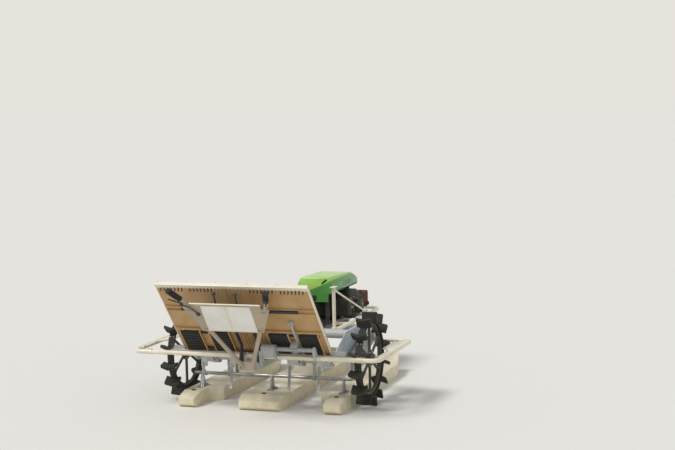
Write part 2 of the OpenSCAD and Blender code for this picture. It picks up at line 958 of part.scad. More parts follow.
module planting_arm(row) {
  y = ROWS[row];
  toward = toward_head(y);
  pin_len = arm_w + link_t + 4;
  holder_low = holder_pt + 62 * fork_dir;
  color("#d8dadb")
    difference() {
      union() {
        side_plate(y, arm_w)
          link_outline(rocker_pin, 16, crank_pin, 27);
        side_plate(y, arm_w)
          link_outline(crank_pin, 27, holder_pt, 19);
        side_plate(y, arm_w)
          link_outline(holder_pt, 19, holder_low, 13);
        for (p = [crank_pin, rocker_pin])
          cross_bar(p[0], p[1], y + toward * (pin_len - arm_w) / 2, pin_len, pin_d);
        // Round cover of the ejector cam
        cross_bar(crank_pin[0], crank_pin[1], y - toward * 2, arm_w + 4, 42);
      }
      // Slot that the fork's shank seats in
      fork_solid(row, seat);
    }
}

// Two-pronged fork with its flat shank
module fork_solid(row, gap) {
  y = ROWS[row];
  lean = atan2(-fork_dir[0], -fork_dir[1]);
  translate([holder_pt[0], y, holder_pt[1]])
    rotate([0, lean, 0])
      translate([-14, 0, 0])
        fork_blank(gap);
}

module fork_blank(gap) {
  shank = 5;
  low = -62 - fork_len;
  translate([-gap, -9 - gap, -80])
    cube([shank + 2 * gap, 18 + 2 * gap, 84 + gap]);
  if (gap == 0)
    for (side = SIDES) {
      translate([0, side * 6 - 3, low + 18])
        cube([shank, 6, fork_len + 4]);
      translate([0, side * 6 - 3, 0])
        rotate([90, 0, 0])
          translate([0, 0, -6])
            linear_extrude(6)
              polygon([[0, low + 18], [shank, low + 18], [-8, low], [-10, low]]);
    }
}

module forks() {
  color(steel)
    for (row = [0 : 3])
      fork_solid(row, 0);
}

// Tray and what carries it

module on_tray() {
  translate([-tray_low_x, 0, tray_low_z])
    rotate([0, -tray_tilt, 180])
      children();
}

wall_t = 8;
half_in = pair_gap / 2 - mat_w / 2 - wall_t;
half_out = outer_row + mat_w / 2 + wall_t;
belt_bay = 216;
belt_bay_low = 16;
bay_w = belt_w + 12;
support_at = 424;
support_d = 22;
channel_gap = 5;
comb_len = 40;
comb_w = 9;
comb_depth = 3;
comb_drop = 22;
comb_lean = 18;
web_t = 6;
web_h = 24;
belt_r = 13;
belt_lug = 4;
belt_shaft_d = 12;
belt_mid = tray_floor + 3 - belt_r - belt_lug;
belt_shafts = [belt_bay_low + belt_r + 12, belt_bay - belt_r - 12];

// One half of the tray with two compartments
module tray_half(side) {
  mid = side * (half_in + half_out) / 2;
  span = half_out - half_in;
  color(tan)
    on_tray()
      difference() {
        union() {
          translate([0, -mid - span / 2, 0])
            cube([tray_len, span, tray_floor]);
          // Outer, middle and inner wall
          for (y = [half_in, head_y - wall_t / 2, half_out - wall_t])
            translate([0, side > 0 ? -y - wall_t : y, 0])
              cube([tray_len, wall_t, tray_floor + tray_wall]);
          // Low ribs that carry the seedling mats
          for (row = [inner_row, outer_row])
            for (i = [-3 : 3])
              translate([belt_bay + 30, -side * row + 24 * i - 2, tray_floor - weld])
                cube([tray_len - belt_bay - 90, 4, 4 + weld]);
          // Slide channel on the support bar
          for (end = SIDES)
            translate([support_at + end * (support_d / 2 + channel_gap + 3) - 3, -mid - span / 2, -11])
              cube([6, span, 11 + weld]);
          // Webs beside the belt bays, which carry the belts' shafts
          for (row = [inner_row, outer_row], edge = SIDES)
            translate([belt_bay_low + 8, -side * row + edge * (bay_w / 2 + web_t / 2) - web_t / 2, -web_h])
              cube([belt_bay - belt_bay_low - 2, web_t, web_h + weld]);
          // Ledge over the belt bays
          translate([belt_bay + 6, -mid - span / 2, -14])
            cube([12, span, 14 + weld]);
        }
        for (x = belt_shafts)
          translate([x, -mid + span / 2, belt_mid])
            rotate([90, 0, 0])
              cylinder(h = span, d = belt_shaft_d + run_gap);
        for (row = [inner_row, outer_row]) {
          // Bay of the feed belt
          translate([belt_bay_low, -side * row - bay_w / 2, -30])
            cube([belt_bay - belt_bay_low, bay_w, 80]);
          // Comb of slanted recesses in the back, below the top rail's lip
          for (i = [-3 : 3])
            translate([tray_len - comb_drop, -side * row + 24 * i, -weld])
              rotate([0, 0, comb_lean])
                translate([-comb_len, -comb_w / 2, 0])
                  cube([comb_len, comb_w, comb_depth + weld]);
        }
      }
}

// Ribbed panel between the two halves
module tray_centre() {
  half = half_in - seat;
  color(tan)
    on_tray() {
      translate([0, -half, 0])
        cube([tray_len, 2 * half, tray_floor]);
      for (i = [-4 : 4])
        translate([10, 22 * i - 3, -6])
          cube([belt_bay, 6, 6 + weld]);
      // Longer ribs above, broken where the support bar passes
      for (i = [-1 : 1], span = [[belt_bay + 30, support_at - 28], [support_at + 28, tray_len - 30]])
        translate([span[0], 45 * i - 3, -5])
          cube([span[1] - span[0], 6, 5 + weld]);
    }
}

// Cream rail along the top edge, with a scalloped lower lip over the back
module tray_top_rail() {
  lip_len = 14;
  lip_drop = 12;
  rail_t = 14;
  rail_up = 9;
  side_up = 10;
  pitch = 25;
  count = floor(half_out / pitch) - 1;
  color(cream)
    on_tray() {
      difference() {
        union() {
          translate([tray_len + seat, -half_out - 6, -lip_drop])
            cube([rail_t, 2 * half_out + 12, lip_drop + tray_floor + rail_up]);
          translate([tray_len - lip_len, -half_out, -lip_drop])
            cube([lip_len + seat + weld, 2 * half_out, lip_drop - seat]);
        }
        for (i = [-count : count])
          translate([tray_len - lip_len, pitch * i, -20])
            cylinder(h = 20 + seat, d = 15, $fn = 24);
      }
      for (side = SIDES)
        translate([0, side * (half_out + 3 + seat) - 3, -4])
          cube([tray_len + rail_t, 6, 4 + tray_floor + side_up]);
    }
}

// Four lugged feed belts on their two shafts
module feed_belts() {
  lugs_along = 7;
  run = belt_shafts[1] - belt_shafts[0];
  shaft_len = row_pitch + bay_w + 2 * web_t;
  color(rubber)
    on_tray() {
      for (y = ROWS) {
        translate([0, y + belt_w / 2, belt_mid])
          rotate([90, 0, 0])
            linear_extrude(belt_w)
              link_outline([belt_shafts[0], 0], belt_r, [belt_shafts[1], 0], belt_r);
        for (i = [0 : lugs_along - 1])
          for (face = SIDES)
            translate([
              belt_shafts[0] + run * i / (lugs_along - 1) - 3,
              y - belt_w / 2,
              belt_mid + face * (belt_r + belt_lug / 2 - weld / 2) - belt_lug / 2 - weld / 2
            ])
              cube([6, belt_w, belt_lug + weld]);
      }
      for (side = SIDES)
        for (x = belt_shafts)
          translate([x, side * head_y + shaft_len / 2, belt_mid])
            rotate([90, 0, 0])
              cylinder(h = shaft_len, d = belt_shaft_d);
    }
}

// Rail under the tray's low edge, with a gate for each fork
module guide_rail() {
  reach = half_out + tray_travel + 6;
  rail_t = 10;
  gate_w = 26;
  up = tray_floor + tray_wall + 4;
  color(steel) {
    on_tray()
      difference() {
        union() {
          translate([-rail_t - seat, -reach, -22])
            cube([rail_t, 2 * reach, up + 22]);
          translate([-rail_t - seat, -reach, -22])
            cube([rail_t + 22, 2 * reach, 5]);
        }
        for (y = ROWS)
          translate([-rail_t - 5, y - gate_w / 2, 4])
            cube([rail_t + 10, gate_w, up]);
      }
    for (side = SIDES)
      side_plate(side * rear_arm_y, rear_arm_w - 4)
        polygon([
          [-tray_low_x - 48, rear_arm_top + seat],
          [-tray_low_x + 32, rear_arm_top + seat],
          [-tray_low_x + 4, tray_low_z - 6],
          [-tray_low_x - 12, tray_low_z - 16]
        ]);
  }
}

function tray_point(along, off) = [
  -tray_low_x - along * cos(tray_tilt) + off * sin(tray_tilt),
  tray_low_z + along * sin(tray_tilt) + off * cos(tray_tilt)
];

strut_off = -45;
strut_t = 10;

// Bar that the tray slides on, and its two struts from the rear arms
module tray_support() {
  bar_pt = tray_point(support_at, -support_d / 2 - seat);
  strut_top = tray_point(support_at, strut_off);
  elbow = tray_point(122, strut_off);
  foot_x = -rear_bar_x - rear_bar_d / 2 - 8;
  color(dark) {
    cross_bar(bar_pt[0], bar_pt[1], 0, 2 * (half_out - tray_travel - 20), support_d);
    for (side = SIDES)
      side_plate(side * rear_arm_y, strut_t) {
        link_outline(elbow, 15, strut_top, 12);
        link_outline(strut_top, 12, bar_pt, 8);
        polygon([
          [-rear_arm_end + 4, rear_arm_top + seat],
          [foot_x, rear_arm_top + seat],
          elbow + [13, 0],
          elbow + [-14, 4]
        ]);
      }
  }
}

screw_at = 116;
screw_off = -58;
screw_d = 24;
screw_bearing = tray_travel + 44;

// Traverse screw with its bearings on the rear bar and its drive box on a rear arm
module feed_screw() {
  p = tray_point(screw_at, screw_off);
  bar_pt = [-rear_bar_x, rear_bar_z];
  y_box = -head_y + screw_bearing;
  foot_y = -rear_arm_y - 22;
  arm_face = -rear_arm_y - rear_arm_w / 2 - seat;
  color(cast) {
    cross_bar(p[0], p[1], -head_y, 2 * screw_bearing, screw_d);
    for (i = [-8 : 8])
      cross_bar(p[0], p[1], -head_y + i * 14, 5, screw_d + 6);
    for (end = [-1, 1])
      difference() {
        side_plate(-head_y + end * (screw_bearing - 4), 12)
          link_outline(p, 22, bar_pt, 24);
        cross_bar(bar_pt[0], bar_pt[1], -head_y, 3 * screw_bearing, rear_bar_d + 2 * seat);
      }
    // Drive box at the screw's inner end, with its foot against the rear arm
    side_plate((y_box - weld + foot_y) / 2, foot_y - y_box + weld)
      link_outline(p, 30, p + [-4, -30], 24);
    side_plate((foot_y - weld + arm_face) / 2, arm_face - foot_y + weld)
      link_outline(p + [-7, -30], 19, [p[0] - 6, rear_arm_top - 16], 12);
  }
}

follower_w = 48;
follower_gap = 6;

// Follower that straddles the traverse screw, with the strap that ties it to the tray
module tray_follower() {
  reach = screw_d / 2 + 3 + follower_gap;
  cheek_t = 9;
  strap_w = 14;
  strap_t = 5;
  strap_y = head_y + 16;
  strap_off = belt_mid - belt_shaft_d / 2 - seat;
  strap_end = 318;
  fitting_d = 34;
  color(cast)
    on_tray() {
      translate([screw_at - reach - cheek_t, head_y - follower_w / 2, screw_off + reach])
        cube([2 * (reach + cheek_t), follower_w, -screw_off - reach - seat]);
      for (x = [screw_at - reach - cheek_t, screw_at + reach])
        translate([x, head_y - follower_w / 2, screw_off - 6])
          cube([cheek_t, follower_w, reach + 6 + weld]);
      // Strap up the back to its round fitting
      translate([24, strap_y - strap_w / 2, strap_off - strap_t])
        cube([strap_end - 24, strap_w, strap_t]);
      translate([strap_end, strap_y, strap_off - 8])
        cylinder(h = -strap_off + 8 - seat, d = fitting_d);
    }
}

bar_joint_y = guard_span / 2 - rear_bar_d / 2 - 119;

module rear_bar() {
  clamp_w = 30;
  color(cream) {
    cross_bar(-rear_bar_x, rear_bar_z, 0, 2 * bar_joint_y, rear_bar_d);
    for (side = SIDES)
      translate([-rear_bar_x - 16, side * rear_arm_y - clamp_w / 2, rear_arm_top + seat])
        cube([32, clamp_w, rear_bar_z - rear_arm_top]);
  }
}

guard_front_x = 62;
plate_wide = 84;
plate_narrow = 30;

module side_guard(side) {
  out = guard_span / 2 - rear_bar_d / 2;
  y0 = side * (bar_joint_y + seat);
  corners = [
    [-rear_bar_x, y0, rear_bar_z],
    [-rear_bar_x, side * out, rear_bar_z],
    [guard_front_x, side * out, rear_bar_z],
    [guard_front_x, side * (swing_y + swing_case_w / 2 + pivot_cap + seat), rear_bar_z]
  ];
  color(cream) {
    sweep_tube(rounded_path(corners, 60, 6), rear_bar_d);
    // Flat plate on the outer side, wide at its front end
    translate([0, 0, rear_bar_z + 6])
      linear_extrude(6)
        polygon([
          for (p = [
            [-rear_bar_x + 90, 0],
            [guard_front_x - 70, 0],
            [guard_front_x - 70, plate_wide],
            [guard_front_x - 370, plate_wide],
            [guard_front_x - 420, plate_narrow],
            [-rear_bar_x + 90, plate_narrow]
          ])
            [p[0], side * (out - p[1])]
        ]);
  }
}

// Floats

// Side view of a float, with its turned-up nose
module float_profile(front) {
  nose_rise = 78;
  nose_len = 230;
  steps = 10;
  polygon(concat(
    [
      [-float_tail, 22],
      [-float_tail + 30, 0],
      [front - nose_len, 0]
    ],
    [for (k = [1 : steps])
      [front - nose_len * (1 - k / steps), nose_rise * pow(k / steps, 2)]],
    [for (k = [0 : steps])
      [front - 6 - (nose_len - 6) * k / steps, float_h + 44 * pow(1 - k / steps, 2)]],
    [
      [-float_tail + 110, float_h],
      [-float_tail, float_h - 30]
    ]
  ));
}

module float_body(front, plan) {
  intersection() {
    side_plate(0, 3 * side_float_out) float_profile(front);
    translate([0, 0, -10])
      linear_extrude(float_h + 100) polygon(plan);
  }
}

module centre_float() {
  half = centre_float_w / 2;
  tail_half = inner_row - 45;
  color(cream)
    float_body(centre_float_front, rounded_outline([
      [-float_tail, -tail_half + 20],
      [-float_tail + 160, -tail_half],
      [centre_float_front - 240, -half],
      [centre_float_front, -half + 60],
      [centre_float_front, half - 60],
      [centre_float_front - 240, half],
      [-float_tail + 160, tail_half],
      [-float_tail, tail_half - 20]
    ], 24, 6));
}

module side_float(side) {
  in_front = outer_row - 58;
  in_rear = outer_row + 34;
  step_x = -planter_x + 30;
  plan = [
    [-float_tail, in_rear + 10],
    [step_x - 40, in_rear],
    [step_x, in_front],
    [side_float_front - 200, in_front],
    [side_float_front, in_front + 50],
    [side_float_front, side_float_out - 50],
    [side_float_front - 200, side_float_out],
    [-float_tail, side_float_out]
  ];
  color(cream)
    mirror([0, side > 0 ? 0 : 1, 0])
      float_body(side_float_front, rounded_outline(plan, 12, 5));
}

pipe_x = -350;
pipe_z = 180;
pipe_d = 22;
side_float_y = (outer_row + 34 + side_float_out) / 2;

// Pivot pipe of the floats, its hangers and the front stays
module float_links() {
  color(steel) {
    cross_bar(pipe_x, pipe_z, 0, 2 * side_float_out - 20, pipe_d);
    for (side = SIDES) {
      // Hanger from the head case
      side_plate(side * head_y, 12)
        difference() {
          link_outline([pipe_x, pipe_z], 18, [pipe_x - 10, planter_z - 10], 16);
          head_outline(seat);
        }
      // Bracket on the side float
      side_plate(side * side_float_y, 10)
        polygon([
          [pipe_x - 40, float_h + seat],
          [pipe_x + 40, float_h + seat],
          [pipe_x + 14, pipe_z],
          [pipe_x - 14, pipe_z]
        ]);
      // Front stay from the axle tube down to the side float
      translate([drive_x - 8, side * (outer_row + 20) - 10, float_h + seat])
        cube([16, 20, drive_z - axle_tube_d / 2 - float_h - 2 * seat]);
    }
    side_plate(0, 10)
      polygon([
        [pipe_x - 40, float_h + seat],
        [pipe_x + 40, float_h + seat],
        [pipe_x + 14, pipe_z],
        [pipe_x - 14, pipe_z]
      ]);
    // Front link of the centre float, under the engine plate
    translate([engine_plate_rear + 5, -10, float_h + seat])
      cube([16, 20, bearer_top - bearer_h - float_h - 2 * seat]);
  }
}

// Handlebar

foot_t = 10;
foot_pt = [-rear_arm_end - foot_t - 4, 36, rear_arm_top - 14];
shoulder = [-1090, 268, 770];
grip_dir = unit([-grip_end, grip_gap / 2, grip_z] - shoulder);
// The rim of a grip's end face is what reaches back to grip_end
end_lean = grip_d / 2 * norm([grip_dir[1], grip_dir[2]]);
bar_tip = shoulder - grip_dir * (grip_end - end_lean + shoulder[0]) / grip_dir[0];
brace_at = 440;
v_tilt = atan2(shoulder[2] - foot_pt[2], foot_pt[0] - shoulder[0]);
v_len = norm([shoulder[0] - foot_pt[0], shoulder[2] - foot_pt[2]]);

// Distance of a tube's middle from the middle plane, at a place along the slanting part
function bar_y(along) = foot_pt[1] + (shoulder[1] - foot_pt[1]) * along / v_len;

// Frame in the plane of the two slanting tubes: X up along them, Z to the front
module on_bars() {
  translate([foot_pt[0], 0, foot_pt[2]])
    rotate([0, -v_tilt, 180])
      children();
}

module handlebar() {
  color("#b8ab97") {
    for (side = SIDES)
      sweep_tube(
        rounded_path([
          mirror_y(side, foot_pt),
          mirror_y(side, shoulder),
          mirror_y(side, bar_tip - 10 * grip_dir)
        ], 120, 6),
        bar_d, [0, 1, 0]);
    // Foot plate on the end of the rear arms
    translate([-rear_arm_end - seat - foot_t, -66, rear_arm_top - rear_arm_h])
      cube([foot_t, 132, rear_arm_h + 8]);
    on_bars()
      translate([brace_at, bar_y(brace_at), 0])
        rotate([90, 0, 0])
          cylinder(h = 2 * bar_y(brace_at), d = 20);
  }
}

module grips() {
  color(rubber)
    for (side = SIDES)
      difference() {
        bar(mirror_y(side, bar_tip - grip_len * grip_dir), mirror_y(side, bar_tip), grip_d);
        bar(mirror_y(side, bar_tip - (grip_len + 2) * grip_dir),
            mirror_y(side, bar_tip - (10 - seat) * grip_dir), bar_d + 2 * seat);
      }
}

lever_d = 9;

// Clutch levers under the grips and two upright levers on the panel
module levers() {
  under = unit(grip_dir[2] * grip_dir - [0, 0, 1]);
  off = bar_d / 2 + lever_d / 2 + 2 * seat;
  color(dark) {
    for (side = SIDES)
      sweep_tube(
        rounded_path([
          mirror_y(side, bar_tip - (grip_len + 32) * grip_dir + off * under),
          mirror_y(side, bar_tip - (grip_len + 20) * grip_dir + off * under),
          mirror_y(side, bar_tip - 32 * grip_dir + (off + 24) * under)
        ], 30, 4), lever_d, [0, 1, 0], 10);
    on_bars()
      for (side = SIDES)
        translate([lever_at, side * 70, -bar_d / 2]) {
          translate([-16, -8, 0])
            cube([32, 16, 16]);
          translate([0, 0, 10])
            rotate([0, 76, 0]) {
              cylinder(h = 120, d = 10);
              translate([0, 0, 120]) sphere(d = 28);
            }
        }
  }
}

panel_low = 320;
panel_high = 520;
panel_tongue = 556;
panel_t = 3;
panel_lap = 30;
lever_at = 490;

// Panel on the operator's side of the tubes, narrower above where they bend
module back_panel() {
  wide_low = bar_y(panel_low) + panel_lap;
  wide_high = bar_y(panel_high) + panel_lap;
  tongue = bar_y(panel_high) - bar_d / 2 - 8;
  color("#bfb3a0")
    on_bars()
      translate([0, 0, -bar_d / 2 - seat - panel_t])
        linear_extrude(panel_t)
          polygon([
            [panel_low, -wide_low],
            [panel_high, -wide_high],
            [panel_high, -tongue],
            [panel_tongue, -tongue],
            [panel_tongue, tongue],
            [panel_high, tongue],
            [panel_high, wide_high],
            [panel_low, wide_low]
          ]);
}

plate_size = [206, 154, 2];

module plates() {
  color("#f4f2ec")
    on_bars()
      for (side = SIDES)
        translate([
          panel_low + 12,
          side * (plate_size[1] / 2 + 5) - plate_size[1] / 2,
          -bar_d / 2 - panel_t - 2 * seat - plate_size[2]
        ])
          cube(plate_size);
}

main_frame();
guard_hoop();
tow_lug();
rack_post(1);  // rack_post_left
rack_post(-1);  // rack_post_right
gear_case();
axle_tubes();
swing_case(1);  // swing_case_left
swing_case(-1);  // swing_case_right
engine_block();
fan_cowl();
muffler();
air_cleaner();
fuel_tank();
belt_cover();
hood();
engine_bed();
wheel(1);  // wheel_left
wheel(-1);  // wheel_right
lugs(1);  // lugs_left
lugs(-1);  // lugs_right
mudguards();
planter_drive();
cranks();
planting_arm(0);  // planting_arm_1
planting_arm(1);  // planting_arm_2
planting_arm(2);  // planting_arm_3
planting_arm(3);  // planting_arm_4
forks();
guide_rail();
tray_support();
feed_screw();
rear_bar();
side_guard(1);  // side_guard_left
side_guard(-1);  // side_guard_right
centre_float();
side_float(1);  // side_float_left
side_float(-1);  // side_float_right
float_links();
tray_half(1);  // tray_left
tray_half(-1);  // tray_right
tray_centre();
tray_top_rail();
feed_belts();
tray_follower();
handlebar();
grips();
levers();
back_panel();
plates();
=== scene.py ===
"""Looks of a walk-behind rice transplanter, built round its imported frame.

The scene is in metres, in the frame of the CAD: +X ahead of the machine, +Y to its left, +Z up.
Sizes and places in the classes below are millimetres.
"""

import logging
import math
from dataclasses import dataclass
from enum import Enum
from typing import Any, Callable, Iterable, Sequence

import bpy
from mathutils import Matrix, Vector


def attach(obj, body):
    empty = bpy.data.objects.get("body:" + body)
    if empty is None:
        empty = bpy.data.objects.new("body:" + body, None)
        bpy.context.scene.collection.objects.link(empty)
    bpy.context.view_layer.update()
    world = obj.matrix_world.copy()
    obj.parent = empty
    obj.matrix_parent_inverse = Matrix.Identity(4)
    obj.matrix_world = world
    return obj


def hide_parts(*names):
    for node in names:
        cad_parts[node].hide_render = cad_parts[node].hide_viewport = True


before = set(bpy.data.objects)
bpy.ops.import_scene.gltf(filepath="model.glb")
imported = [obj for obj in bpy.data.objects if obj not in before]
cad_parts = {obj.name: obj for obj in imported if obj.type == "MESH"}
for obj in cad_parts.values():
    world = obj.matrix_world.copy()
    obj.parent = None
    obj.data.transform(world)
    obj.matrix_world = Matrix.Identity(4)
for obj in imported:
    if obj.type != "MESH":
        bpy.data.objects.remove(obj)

LOG = logging.getLogger("transplanter")
# One millimetre in metres
MM = 0.001
# The machine's left and right
SIDES = (1, -1)
# Middles of the four planting rows, across the machine
ROWS = (-400.0, -200.0, 200.0, 400.0)
# Points that are nearer than this, in metres, are the same point
SAME_POINT = 0.00001
# Smallest share of a normal along an axis at which a face still counts as facing it
FACING = 0.9
# Angles between faces, in degrees, under which pieces and small turned parts are shaded smooth
SMOOTH, CRISP = 32.0, 25.0
# Where the wheels' axle runs, along the machine and above the ground
AXLE = (-270.0, 305.0)
# X and Z of a place that both sides share, or two sizes that belong together
Pair = tuple[float, float]
# X, Y and Z
Triple = tuple[float, float, float]
# The places of a row of bolts, or radius and height of each step of a turned piece from its foot up
Pairs = tuple[Pair, ...]
# Says of a face's middle and normal whether it is taken
Test = Callable[[Vector, Vector], bool]
Socket = bpy.types.NodeSocket
Tree = bpy.types.NodeTree


# Materials


def linear(code: str) -> tuple[float, float, float, float]:
    """Turns an sRGB colour to linear values.

    Args:
        code: The colour as six hex digits after a hash sign.

    Returns:
        Red, green and blue in linear light, and an alpha of 1.
    """
    parts = [int(code[i : i + 2], 16) / 255 for i in (1, 3, 5)]
    red, green, blue = (p / 12.92 if p <= 0.04045 else ((p + 0.055) / 1.055) ** 2.4 for p in parts)
    return red, green, blue, 1.0


def add(
    tree: Tree, kind: str, sockets: dict[str | int, Any] | None = None, **settings: Any
) -> bpy.types.Node:
    """Adds a node with its settings and links.

    Args:
        tree: The node tree that takes the node.
        kind: Blender's name for the node type, without its ShaderNode prefix.
        sockets: Input values by name or number. An output socket is linked.
        settings: Attributes of the node.

    Returns:
        The new node.
    """
    node = tree.nodes.new("ShaderNode" + kind)
    for name, value in settings.items():
        setattr(node, name, value)
    for key, value in (sockets or {}).items():
        if isinstance(value, bpy.types.NodeSocket):
            tree.links.new(value, node.inputs[key])
        else:
            node.inputs[key].default_value = value
    return node


# Sockets of a colour Mix node, which share their names with other data types
MIX_A, MIX_B, MIX_OUT = 6, 7, 2
# Noise values between which a pattern goes from none to full: faded patches, chips and dust
FADED, CHIPPED, DUSTY = (0.36, 0.66), (0.46, 0.6), (0.42, 0.72)
# How well the rounded normal agrees with the true one where an edge is whole, and where it is bare
RUBBED = (0.995, 0.86)
# How much smoother and rougher than its mean a surface gets from cloud to cloud
SMOOTHER, ROUGHER = 0.1, 0.14


@dataclass(frozen=True)
class Finish:
    """One finish: what it is made of, how it fades, wears at its edges and gathers dust.

    Colours are sRGB: as new, faded, worn at the edges, and of the dust that settles. The streak
    stretches the faded patches along Z. Sizes are in millimetres and real ones: patches, chips and
    dust clouds as broad as on used machines, and a grain of 3 mm for the orange peel of paint. A
    real grain below about 1.5 mm wouldn't show, so it is drawn as coarse as it needs to be, and the
    finish's comment says so.
    """

    name: str
    colour: str
    faded: str
    worn: str
    rough: float = 0.45
    ior: float = 1.5
    metallic: float = 0.0
    worn_metallic: float = 0.0
    coat: float = 0.0
    coat_rough: float = 0.18
    patch_mm: float = 160.0
    streak: float = 1.0
    grain_mm: float = 3.0
    grain_depth_mm: float = 0.25
    wear_mm: float = 3.0
    wear: float = 0.5
    chip_mm: float = 14.0
    soil: str = "#7d6c55"
    soil_share: float = 0.25
    soil_mm: float = 55.0
    soil_top_mm: float = 700.0

    def base(self, tree: Tree, place: Socket) -> Socket:
        """Gives the unworn colour, faded in broad patches.

        Args:
            tree: The material's node tree.
            place: Object coordinates.

        Returns:
            The colour's output socket.
        """
        stretched = add(tree, "Mapping", {"Vector": place, "Scale": (1.0, 1.0, self.streak)})
        patches = add(
            tree,
            "TexNoise",
            {
                "Vector": stretched.outputs[0],
                "Scale": 1 / (self.patch_mm * MM),
                "Detail": 4.0,
                "Roughness": 0.6,
            },
        )
        fade = add(
            tree,
            "MapRange",
            {"Value": patches.outputs[0], "From Min": FADED[0], "From Max": FADED[1]},
        )
        mix = add(
            tree,
            "Mix",
            {"Factor": fade.outputs[0], MIX_A: linear(self.colour), MIX_B: linear(self.faded)},
            data_type="RGBA",
        )
        return mix.outputs[MIX_OUT]

    def rubbed(self, tree: Tree, place: Socket) -> Socket:
        """Finds edges that are rubbed bare: where a rounded normal leaves the true one, in chips.

        Args:
            tree: The material's node tree.
            place: Object coordinates.

        Returns:
            The share of bare surface, as an output socket.
        """
        rounded = add(tree, "Bevel", {"Radius": self.wear_mm * MM}, samples=4)
        true_normal = add(tree, "NewGeometry").outputs["Normal"]
        agree = add(tree, "VectorMath", {0: rounded.outputs[0], 1: true_normal}, operation="DOT_PRODUCT")
        edge = add(
            tree,
            "MapRange",
            {"Value": agree.outputs["Value"], "From Min": RUBBED[0], "From Max": RUBBED[1]},
        )
        chips = add(
            tree,
            "TexNoise",
            {"Vector": place, "Scale": 1 / (self.chip_mm * MM), "Detail": 5.0, "Roughness": 0.7},
        )
        chipped = add(
            tree,
            "MapRange",
            {"Value": chips.outputs[0], "From Min": CHIPPED[0], "From Max": CHIPPED[1]},
        )
        bare = add(tree, "Math", {0: edge.outputs[0], 1: chipped.outputs[0]}, operation="MULTIPLY")
        worn = add(tree, "Math", {0: bare.outputs[0], 1: self.wear}, operation="MULTIPLY", use_clamp=True)
        return worn.outputs[0]

    def dust(self, tree: Tree, place: Socket, clouds: Socket) -> Socket:
        """Finds where dust settles: in broad clouds, and more of it low down on the machine.

        Args:
            tree: The material's node tree.
            place: Object coordinates.
            clouds: The pattern of the clouds.

        Returns:
            The share of dust, as an output socket.
        """
        height = add(tree, "SeparateXYZ", {0: place})
        low = add(
            tree,
            "MapRange",
            {"Value": height.outputs[2], "From Min": self.soil_top_mm * MM, "From Max": 0.0},
        )
        cloud = add(tree, "MapRange", {"Value": clouds, "From Min": DUSTY[0], "From Max": DUSTY[1]})
        settled = add(tree, "Math", {0: low.outputs[0], 1: cloud.outputs[0]}, operation="MULTIPLY")
        share = add(tree, "Math", {0: settled.outputs[0], 1: self.soil_share}, operation="MULTIPLY")
        return share.outputs[0]

    def build(self) -> bpy.types.Material:
        """Builds the material.

        Returns:
            The material, with its nodes in place.
        """
        material = bpy.data.materials.new(self.name)
        material.use_nodes = True
        tree = material.node_tree
        tree.nodes.clear()
        place = add(tree, "TexCoord").outputs["Object"]
        worn = self.rubbed(tree, place)
        clouds = add(
            tree,
            "TexNoise",
            {"Vector": place, "Scale": 1 / (self.soil_mm * MM), "Detail": 6.0, "Roughness": 0.68},
        )
        clean = add(
            tree,
            "Mix",
            {"Factor": worn, MIX_A: self.base(tree, place), MIX_B: linear(self.worn)},
            data_type="RGBA",
        )
        dressed = add(
            tree,
            "Mix",
            {
                "Factor": self.dust(tree, place, clouds.outputs[0]),
                MIX_A: clean.outputs[MIX_OUT],
                MIX_B: linear(self.soil),
            },
            data_type="RGBA",
        )
        smoothest, roughest = max(self.rough - SMOOTHER, 0.05), min(self.rough + ROUGHER, 1.0)
        gloss = add(
            tree,
            "MapRange",
            {"Value": clouds.outputs[0], "To Min": smoothest, "To Max": roughest},
        )
        grain = add(
            tree,
            "TexNoise",
            {"Vector": place, "Scale": 1 / (self.grain_mm * MM), "Detail": 3.0, "Roughness": 0.55},
        )
        bump = add(
            tree,
            "Bump",
            {"Height": grain.outputs[0], "Distance": self.grain_depth_mm * MM, "Strength": 0.6},
        )
        shader = add(
            tree,
            "BsdfPrincipled",
            {
                "Base Color": dressed.outputs[MIX_OUT],
                "Roughness": gloss.outputs[0],
                "IOR": self.ior,
                "Normal": bump.outputs[0],
                "Coat Weight": self.coat,
                "Coat Roughness": self.coat_rough,
                "Metallic": self.metallic,
            },
        )
        if self.worn_metallic != self.metallic:
            shine = add(
                tree,
                "MapRange",
                {"Value": worn, "To Min": self.metallic, "To Max": self.worn_metallic},
            )
            tree.links.new(shine.outputs[0], shader.inputs["Metallic"])
        add(tree, "OutputMaterial", {"Surface": shader.outputs[0]})
        return material


@dataclass(frozen=True)
class TwoToneAndShade(Finish):
    """A moulded cover in two greens that meet along a slanting line. The deep green is partly the cover's
    own lower colour and partly painted shade: the line climbs towards the right side, away from the key
    lamp, so that side is drawn darker.

    The line's point and its blur are in metres, as Object coordinates are.
    """

    # Deep green of the lower cover, which also stands in as painted shade on its right side
    skirt_and_shade: str = "#468a3c"
    line_at: Triple = (0.5, 0.0, 0.64)
    line_normal: Triple = (0.0, -0.45, -1.0)
    line_blur: float = 0.001

    def base(self, tree: Tree, place: Socket) -> Socket:
        """Gives the light green above the line and the deep green below it, which also paints the shade of
        the lower and right faces.

        Args:
            tree: The material's node tree.
            place: Object coordinates.

        Returns:
            The colour's output socket.
        """
        upper = super().base(tree, place)
        shifted = add(tree, "VectorMath", {0: place, 1: self.line_at}, operation="SUBTRACT")
        side = add(tree, "VectorMath", {0: shifted.outputs[0], 1: self.line_normal}, operation="DOT_PRODUCT")
        # Where the deep green takes over: the skirt's own colour, and painted shade on the right side
        below = add(
            tree,
            "MapRange",
            {"Value": side.outputs["Value"], "From Min": -self.line_blur, "From Max": self.line_blur},
        )
        mix = add(
            tree,
            "Mix",
            {"Factor": below.outputs[0], MIX_A: upper, MIX_B: linear(self.skirt_and_shade)},
            data_type="RGBA",
        )
        return mix.outputs[MIX_OUT]


